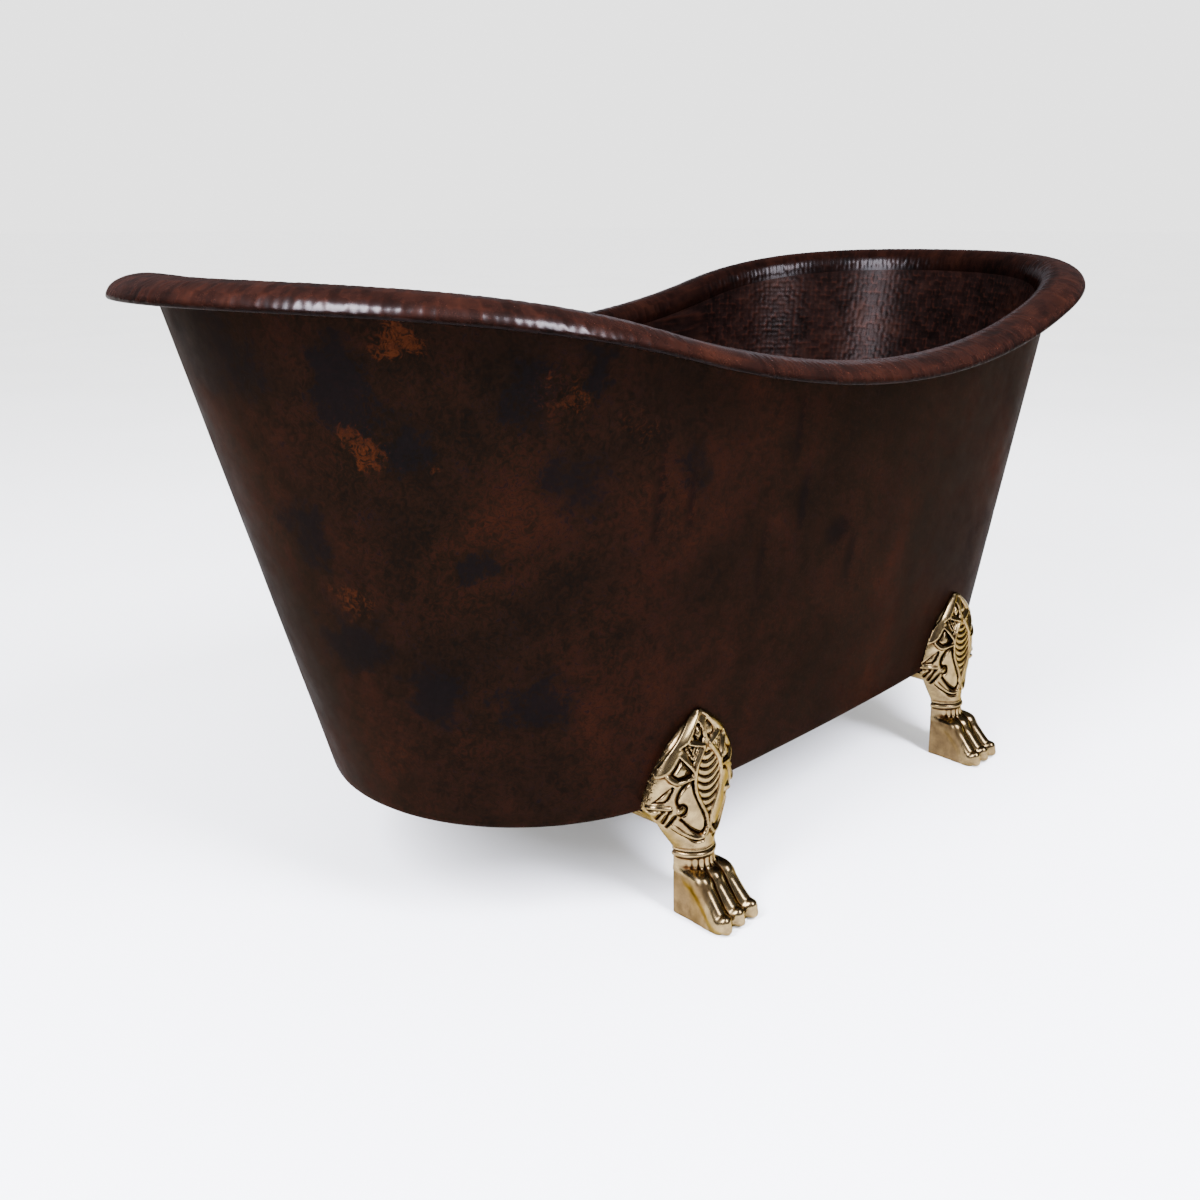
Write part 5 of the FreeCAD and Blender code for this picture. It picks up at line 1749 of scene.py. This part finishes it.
    def field(self, u: np.ndarray, w: np.ndarray, z: np.ndarray) -> np.ndarray:
        """Distance field of the whole casting.

        Args:
            u: Places across the foot.
            w: Places outward from the tub's middle line.
            z: Heights.

        Returns:
            Distances on the grid of those places, negative inside.
        """
        least = 1e-6
        width, back, front = self.sections(z)
        depth = np.maximum(front - back, self.least_depth)
        across = u[:, None, None]
        out = w[None, :, None]
        up = z[None, None, :]
        side = across / width
        ahead = (out - back) / depth
        way = np.sqrt(side**2 + np.maximum(ahead, 0.0) ** 2) + least
        steep = np.sqrt((side / width) ** 2 + (np.maximum(ahead, 0.0) / depth) ** 2) / way + least
        leg = (way - 1.0) / steep
        heights, degrees, relief = self.relief()
        angle = np.degrees(np.abs(np.arctan2(side, ahead)))
        column = np.clip(angle / self.map_step, 0, len(degrees) - 1 - least)
        row = np.clip((up - heights[0]) / self.map_step, 0, len(heights) - 1 - least)
        row = np.broadcast_to(row, column.shape)
        c0 = column.astype(int)
        r0 = row.astype(int)
        fc = column - c0
        fr = row - r0
        carved = (
            relief[r0, c0] * (1 - fr) * (1 - fc) + relief[r0, c0 + 1] * (1 - fr) * fc
            + relief[r0 + 1, c0] * fr * (1 - fc) + relief[r0 + 1, c0 + 1] * fr * fc
        )
        carving = leg - np.where(np.abs(leg) < self.carving_reach, carved, 0.0)
        carving = np.maximum(carving, np.maximum(up - self.leaf_top, self.leaf_low - up))
        body = self.join_ankle(carving, leg, np.arctan2(across, out - self.leg_middle), up)
        body = self.join_paw(body, across, out, up)
        plan = np.maximum(
            np.abs(across) - self.lug_half_width, np.abs(out - self.lug_middle) - self.lug_half_depth,
        )
        lug = np.maximum(plan, np.abs(up - self.lug_height) - self.lug_half_thickness)
        body = np.minimum(body, lug)
        near = -self.wall(u[:, None] - self.place, z[None, :])[:, None, :] + self.gap
        body = np.maximum(body, -np.maximum(out - near, self.tub_bottom - self.gap - up))
        body = np.maximum(body, -np.maximum(out - self.heel, up - self.heel_top))
        return np.maximum(body, -up)

    def join_ankle(self, body: np.ndarray, leg: np.ndarray, turn: np.ndarray, up: np.ndarray) -> np.ndarray:
        """Add the ankle band, the thin bead over it and the fluted cuff below it.

        Args:
            body: Field of the carved leaf.
            leg: Field of the smooth leg, which the band and the cuff follow.
            turn: Angle round the leg from its front line.
            up: Heights.

        Returns:
            The joined field.
        """
        above = up - self.ankle
        band = np.hypot(np.maximum(leg, -self.band_sunk), above) - self.band_radius
        bead = np.hypot(np.maximum(leg, -self.bead_sunk), above - self.bead_rise) - self.bead_radius
        flare = fade_in(up, self.ankle, -self.cuff_length)
        shown = fade_in(np.abs(turn), self.flutes_full_turn + self.flutes_fade_turn, -self.flutes_fade_turn)
        flutes = np.abs(np.sin(turn * self.flutes_per_half_turn)) * shown
        cuff = leg - self.cuff_proud - self.cuff_flare * flare - self.flute_depth * flare * flutes
        cuff = np.maximum(cuff, np.maximum(above, self.cuff_low - up))
        return np.minimum(np.minimum(soft_union(body, cuff, self.cuff_blend), band), bead)

    def join_paw(self, body: np.ndarray, across: np.ndarray, out: np.ndarray, up: np.ndarray) -> np.ndarray:
        """Add the wedge of the paw, its toes, knuckles and claws.

        Args:
            body: Field of the leg.
            across: Places across the foot.
            out: Places outward from the tub's middle line.
            up: Heights.

        Returns:
            The joined field.
        """
        edge_out, edge_up = self.wedge_edge
        front = ((out - edge_out) + (up - edge_up) * self.wedge_slope) / np.hypot(1.0, self.wedge_slope)
        aside = (out - self.hollow_middle[0]) / self.hollow_reach[0]
        above = (up - self.hollow_middle[1]) / self.hollow_reach[1]
        hollow = self.hollow_depth * np.exp(-(aside**2) - above**2)
        half = self.wedge_half_width + self.wedge_taper * (out - self.toe_root) - hollow
        wedge = soft_cut(np.abs(across) - half, front, self.wedge_round)
        wedge = soft_cut(wedge, up - self.wedge_top, self.wedge_top_round)
        wedge = np.maximum(wedge, np.maximum(self.heel - out, -up))
        toes = None
        for spot in self.toes:
            toe = self.toe(spot, across, out, up)
            toes = toe if toes is None else soft_union(toes, toe, self.toe_blend)
        return soft_union(body, soft_union(wedge, toes, self.paw_blend), self.leg_blend)

    def splay(self, out: np.ndarray | float) -> np.ndarray | float:
        """Share of their full spacing that the toes have at a place outward."""
        return self.toe_gather + (1.0 - self.toe_gather) * (out - self.toe_root) / self.toe_length

    def toe(self, spot: float, across: np.ndarray, out: np.ndarray, up: np.ndarray) -> np.ndarray:
        """Field of one toe with its knuckle and claw.

        Args:
            spot: Place of the toe across the paw, where the toes are fully spread.
            across: Places across the foot.
            out: Places outward from the tub's middle line.
            up: Heights.

        Returns:
            Distances, negative inside the toe.
        """
        nearest = np.inf
        chain = curve_through(self.toe_path, self.toe_steps)
        for (w0, z0, r0), (w1, z1, r1) in zip(chain, chain[1:]):
            dw = w1 - w0
            dz = z1 - z0
            along = np.clip(((out - w0) * dw + (up - z0) * dz) / (dw * dw + dz * dz), 0.0, 1.0)
            w = w0 + along * dw
            z = z0 + along * dz
            gap = np.sqrt((across - spot * self.splay(w)) ** 2 + (out - w) ** 2 + (up - z) ** 2)
            nearest = np.minimum(nearest, gap - (r0 + (r1 - r0) * along))
        for w, z, radius in self.toe_balls:
            gap = np.sqrt((across - spot * self.splay(w)) ** 2 + (out - w) ** 2 + (up - z) ** 2)
            nearest = soft_union(nearest, gap - radius, self.ball_blend)
        return nearest

    def skin(self) -> tuple[np.ndarray, np.ndarray, np.ndarray]:
        """Skin the field with quads.

        Returns:
            Points across, outward and up; quads; and a hollow value from zero to one for each point.
        """
        step = self.voxel
        u = np.arange(-self.box_half_width, self.box_half_width + step, step)
        w = np.arange(*self.box_out, step)
        z = np.arange(*self.box_up, step)
        value = self.field(u, w, z).astype(np.float32)
        inside = value < 0.0
        shape = np.array(value.shape) - 1
        corners = [(i, j, k) for i in (0, 1) for j in (0, 1) for k in (0, 1)]
        count = np.zeros(shape, np.int8)
        for i, j, k in corners:
            count += inside[i:i + shape[0], j:j + shape[1], k:k + shape[2]]
        cells = np.argwhere((count > 0) & (count < 8))
        number = np.full(shape, -1, np.int64)
        number[tuple(cells.T)] = np.arange(len(cells))
        total = np.zeros((len(cells), 3))
        hits = np.zeros(len(cells))
        for a in corners:
            for axis in range(3):
                if a[axis]:
                    continue
                b = list(a)
                b[axis] = 1
                va = value[tuple((cells + a).T)]
                vb = value[tuple((cells + b).T)]
                cross = (va < 0) != (vb < 0)
                part = np.where(cross, va / np.where(cross, va - vb, 1.0), 0.0)
                spot = np.array(a, float)[None] + part[:, None] * (np.array(b) - np.array(a))[None]
                total += np.where(cross[:, None], spot, 0.0)
                hits += cross
        points = (cells + total / hits[:, None]) * step + np.array([u[0], w[0], z[0]])
        quads = []
        for axis in range(3):
            one, two = [d for d in range(3) if d != axis]
            change = inside != np.roll(inside, -1, axis)
            limit = [slice(1, n - 1) for n in value.shape]
            limit[axis] = slice(0, value.shape[axis] - 1)
            edges = np.argwhere(change[tuple(limit)]) + [limit[d].start for d in range(3)]
            ring = []
            for s, t in ((0, 0), (1, 0), (1, 1), (0, 1)):
                cell = edges.copy()
                cell[:, one] -= 1 - s
                cell[:, two] -= 1 - t
                ring.append(number[tuple(cell.T)])
            faces = np.stack(ring, -1)
            turned = inside[tuple(edges.T)] == (axis == 1)
            faces[turned] = faces[turned][:, ::-1]
            quads.append(faces)
        return self.soften(points, np.vstack(quads))

    def soften(self, points: np.ndarray, quads: np.ndarray) -> tuple[np.ndarray, np.ndarray, np.ndarray]:
        """Even out the skin a little and measure its hollows.

        Args:
            points: Points of the skin.
            quads: Its faces.

        Returns:
            The points, the faces and a hollow value from zero to one for each point.
        """
        pairs = np.vstack([quads[:, [i, (i + 1) % 4]] for i in range(4)])
        pairs = np.vstack([pairs, pairs[:, ::-1]])
        degree = np.bincount(pairs[:, 0], minlength=len(points)).astype(float)

        def averaged(values: np.ndarray) -> np.ndarray:
            """Mean of each point's neighbours."""
            columns = [np.bincount(pairs[:, 0], column[pairs[:, 1]], len(points)) for column in values.T]
            return np.stack(columns, -1) / degree[:, None]

        for share in self.even_shares:
            points = points + share * (averaged(points) - points)
        corner = [points[quads[:, i]] for i in range(4)]
        outward = np.cross(corner[2] - corner[0], corner[3] - corner[1])
        normal = np.zeros(points.shape)
        for i in range(4):
            for d in range(3):
                normal[:, d] += np.bincount(quads[:, i], outward[:, d], len(points))
        normal /= np.linalg.norm(normal, axis=1)[:, None] + TINY
        smooth = points
        for _ in range(self.hollow_passes):
            smooth = smooth + self.hollow_share * (averaged(smooth) - smooth)
        hollow = ((smooth - points) * normal).sum(1)
        return points, quads, np.clip(hollow / self.hollow_full, 0.0, 1.0)

    def build(self) -> None:
        """Make the four feet as mirror images of one skin."""
        points, quads, hollow = self.skin()
        across, out, up = points.T
        flank = fade_in(np.abs(across), self.flank_start, self.flank_fade)
        flank *= fade_in(up, self.flank_top, -self.flank_top_fade)
        flank *= fade_in(out, self.flank_front, -self.flank_front_fade)
        hollow = np.maximum(hollow, self.flank_tarnish * flank)
        faces = quads.tolist()
        for end in End:
            for side in Side:
                spots = np.column_stack([end.value * (self.place - across), side.value * out, up])
                corner = f"{side.name.lower()}_{end.name.lower()}"
                piece = make_piece(f"claw_foot_casting_{corner}", spots, faces, {"recess": hollow})
                piece.data.materials.append(self.finish)
                fit_out(piece, Body.TUB, [f"claw_foot_{corner}"])


@dataclass
class Fittings:
    """Solids that keep their shape and only get a finish: drain, stopper, bearers and fastenings."""

    finishes: dict[Slot, bpy.types.Material]

    def build(self) -> None:
        """Give each solid that still shows the finish of its slot."""
        slots = {part["node"]: Slot(part["material_slot"]) for part in frame["record"]["subparts"]}
        for name, node in frame["nodes"].items():
            if node.hide_render:
                continue
            node.data.materials.clear()
            node.data.materials.append(self.finishes[slots[name]])
            LOG.info("%s: dressed as %s", name, slots[name].value)


@dataclass
class Studio:
    """Pale floor, soft lights and the camera."""

    camera_place: tuple[float, float, float] = (-1390.97, -1242.77, 891.54)
    yaw: float = 0.843
    pitch: float = -0.264
    focal_share: float = 0.98822
    shift: tuple[float, float] = (-0.0722, -0.0499)
    sensor: float = 36.0
    backdrop: float = 2.65
    surround: float = 0.18
    floor_power: float = 8.0
    aim_height: float = 700.0
    floor_half: float = 90000.0
    floor_cloud_mm: float = 900.0
    backdrop_colour: str = "ffffff"
    surround_colour: str = "f2f4ff"
    lamp_colour: str = "eceeff"
    # Name, bearing and rise in degrees, distance, width and height in millimetres, power in watts
    boxes: tuple = (
        ("left_window", -172.0, 36.0, 3600.0, 900.0, 2300.0, 560.0),
        ("front_window", -98.0, 38.0, 3400.0, 700.0, 2000.0, 330.0),
        ("back_box", 40.0, 13.0, 4200.0, 2600.0, 600.0, 4.0),
    )

    def build(self) -> None:
        """Make the stage."""
        self.build_floor()
        self.build_lights()
        self.build_camera()

    def build_floor(self) -> None:
        """A wide pale floor."""
        half = self.floor_half
        corners = np.array([(-half, -half, 0.0), (half, -half, 0.0), (half, half, 0.0), (-half, half, 0.0)])
        floor = make_piece("studio_floor", corners, [(0, 1, 2, 3)])
        material, tree, shader = blank_material("matt_white_floor")
        place = add_node(tree, "ShaderNodeTexCoord").outputs["Object"]
        scale = per_metre(self.floor_cloud_mm)
        cast = add_node(tree, "ShaderNodeTexNoise", {"Vector": place, "Scale": scale})
        colour = add_node(tree, "ShaderNodeValToRGB", {"Fac": cast.outputs["Fac"]})
        ramp(colour, ((0.3, "f7f7f7"), (0.7, "fbfbfb")))
        feed(tree, shader, {"Base Color": colour.outputs[0], "Roughness": 0.9, "Specular IOR Level": 0.0})
        floor.data.materials.append(material)

    def build_lights(self) -> None:
        """A dim even surround, a soft sky that only the floor receives, and soft boxes for the gloss."""
        world = bpy.data.worlds.new("studio_surround")
        bpy.context.scene.world = world
        world.use_nodes = True
        tree = world.node_tree
        tree.nodes.clear()
        seen, felt = (
            add_node(tree, "ShaderNodeBackground", {"Color": linear(code), "Strength": strength})
            for code, strength in (
                (self.backdrop_colour, self.backdrop),
                (self.surround_colour, self.surround),
            )
        )
        path = add_node(tree, "ShaderNodeLightPath")
        both = add_node(
            tree, "ShaderNodeMixShader",
            {"Fac": path.outputs["Is Camera Ray"], 1: felt.outputs[0], 2: seen.outputs[0]},
        )
        add_node(tree, "ShaderNodeOutputWorld", {"Surface": both.outputs[0]})
        sky = bpy.data.lights.new("floor_sky", "SUN")
        sky.energy = self.floor_power
        sky.angle = HALF_TURN
        overhead = bpy.data.objects.new("floor_sky", sky)
        bpy.context.scene.collection.objects.link(overhead)
        receivers = bpy.data.collections.new("floor_only")
        receivers.objects.link(bpy.data.objects["studio_floor"])
        overhead.light_linking.receiver_collection = receivers
        for name, bearing, rise, distance, width, height, power in self.boxes:
            lamp = bpy.data.lights.new(name, "AREA")
            lamp.shape = "RECTANGLE"
            lamp.size = width * MM
            lamp.size_y = height * MM
            lamp.energy = power
            lamp.color = linear(self.lamp_colour)[:3]
            light = bpy.data.objects.new(name, lamp)
            aim = Vector((0.0, 0.0, self.aim_height))
            level = distance * math.cos(math.radians(rise))
            away = Vector((
                level * math.cos(math.radians(bearing)),
                level * math.sin(math.radians(bearing)),
                distance * math.sin(math.radians(rise)),
            ))
            light.location = (aim + away) * MM
            light.rotation_euler = (-away).to_track_quat("-Z", "Y").to_euler()
            light.visible_camera = False
            bpy.context.scene.collection.objects.link(light)

    def build_camera(self) -> None:
        """The camera at the photograph's view."""
        lens = bpy.data.cameras.new("photo_view")
        lens.sensor_width = self.sensor
        lens.lens = self.sensor * self.focal_share
        lens.shift_x, lens.shift_y = self.shift
        camera = bpy.data.objects.new("photo_view", lens)
        camera.location = Vector(self.camera_place) * MM
        camera.rotation_euler = (QUARTER_TURN + self.pitch, 0.0, -self.yaw)
        bpy.context.scene.collection.objects.link(camera)
        bpy.context.scene.camera = camera


def main() -> None:
    """Build the bath's visible pieces in order."""
    form = TubForm()
    tree = SheetTree()
    patina = PatinaCopper().build()
    rim = HammeredCopper(
        name="rim_copper", dark="0e0705", middle="1f0e09", bright="2c150d", ridge="381a10",
        soot_share=0.04, metallic=0.2, shine=0.0, polish=0.42, wear=0.25,
    ).build()
    basin = HammeredCopper(
        name="basin_copper", dark="0a0605", middle="130a08", bright="1d0f0a", ridge="2b140d",
        soot_share=0.08, metallic=0.12, shine=0.035, polish=0.0, wear=0.45,
    ).build()
    cast = CastBrass().build()
    turned = MachinedFinish(
        name="turned_brass", dark="8a5f3c", bright="b98556", metallic=1.0, roughness=0.3, mark_mm=6.0,
    ).build()
    rubber = MachinedFinish(
        name="moulded_rubber", dark="161616", bright="222222", metallic=0.0, roughness=0.6, mark_mm=2.0,
    ).build()
    steel = MachinedFinish(
        name="stainless_steel", dark="9a9a9c", bright="c4c4c6", metallic=1.0, roughness=0.32, mark_mm=3.0,
    ).build()
    finishes = {
        Slot.PATINA: patina,
        Slot.HAMMERED: rim,
        Slot.CAST: cast,
        Slot.TURNED: turned,
        Slot.RUBBER: rubber,
        Slot.STEEL: steel,
    }
    OuterSkin(form, patina, tree).build()
    BasinSkin(form, basin, tree).build()
    RimRoll(form, rim, tree).build()
    ClawFoot(form, cast).build()
    Fittings(finishes).build()
    Studio().build()


if __name__ == "__main__":
    main()
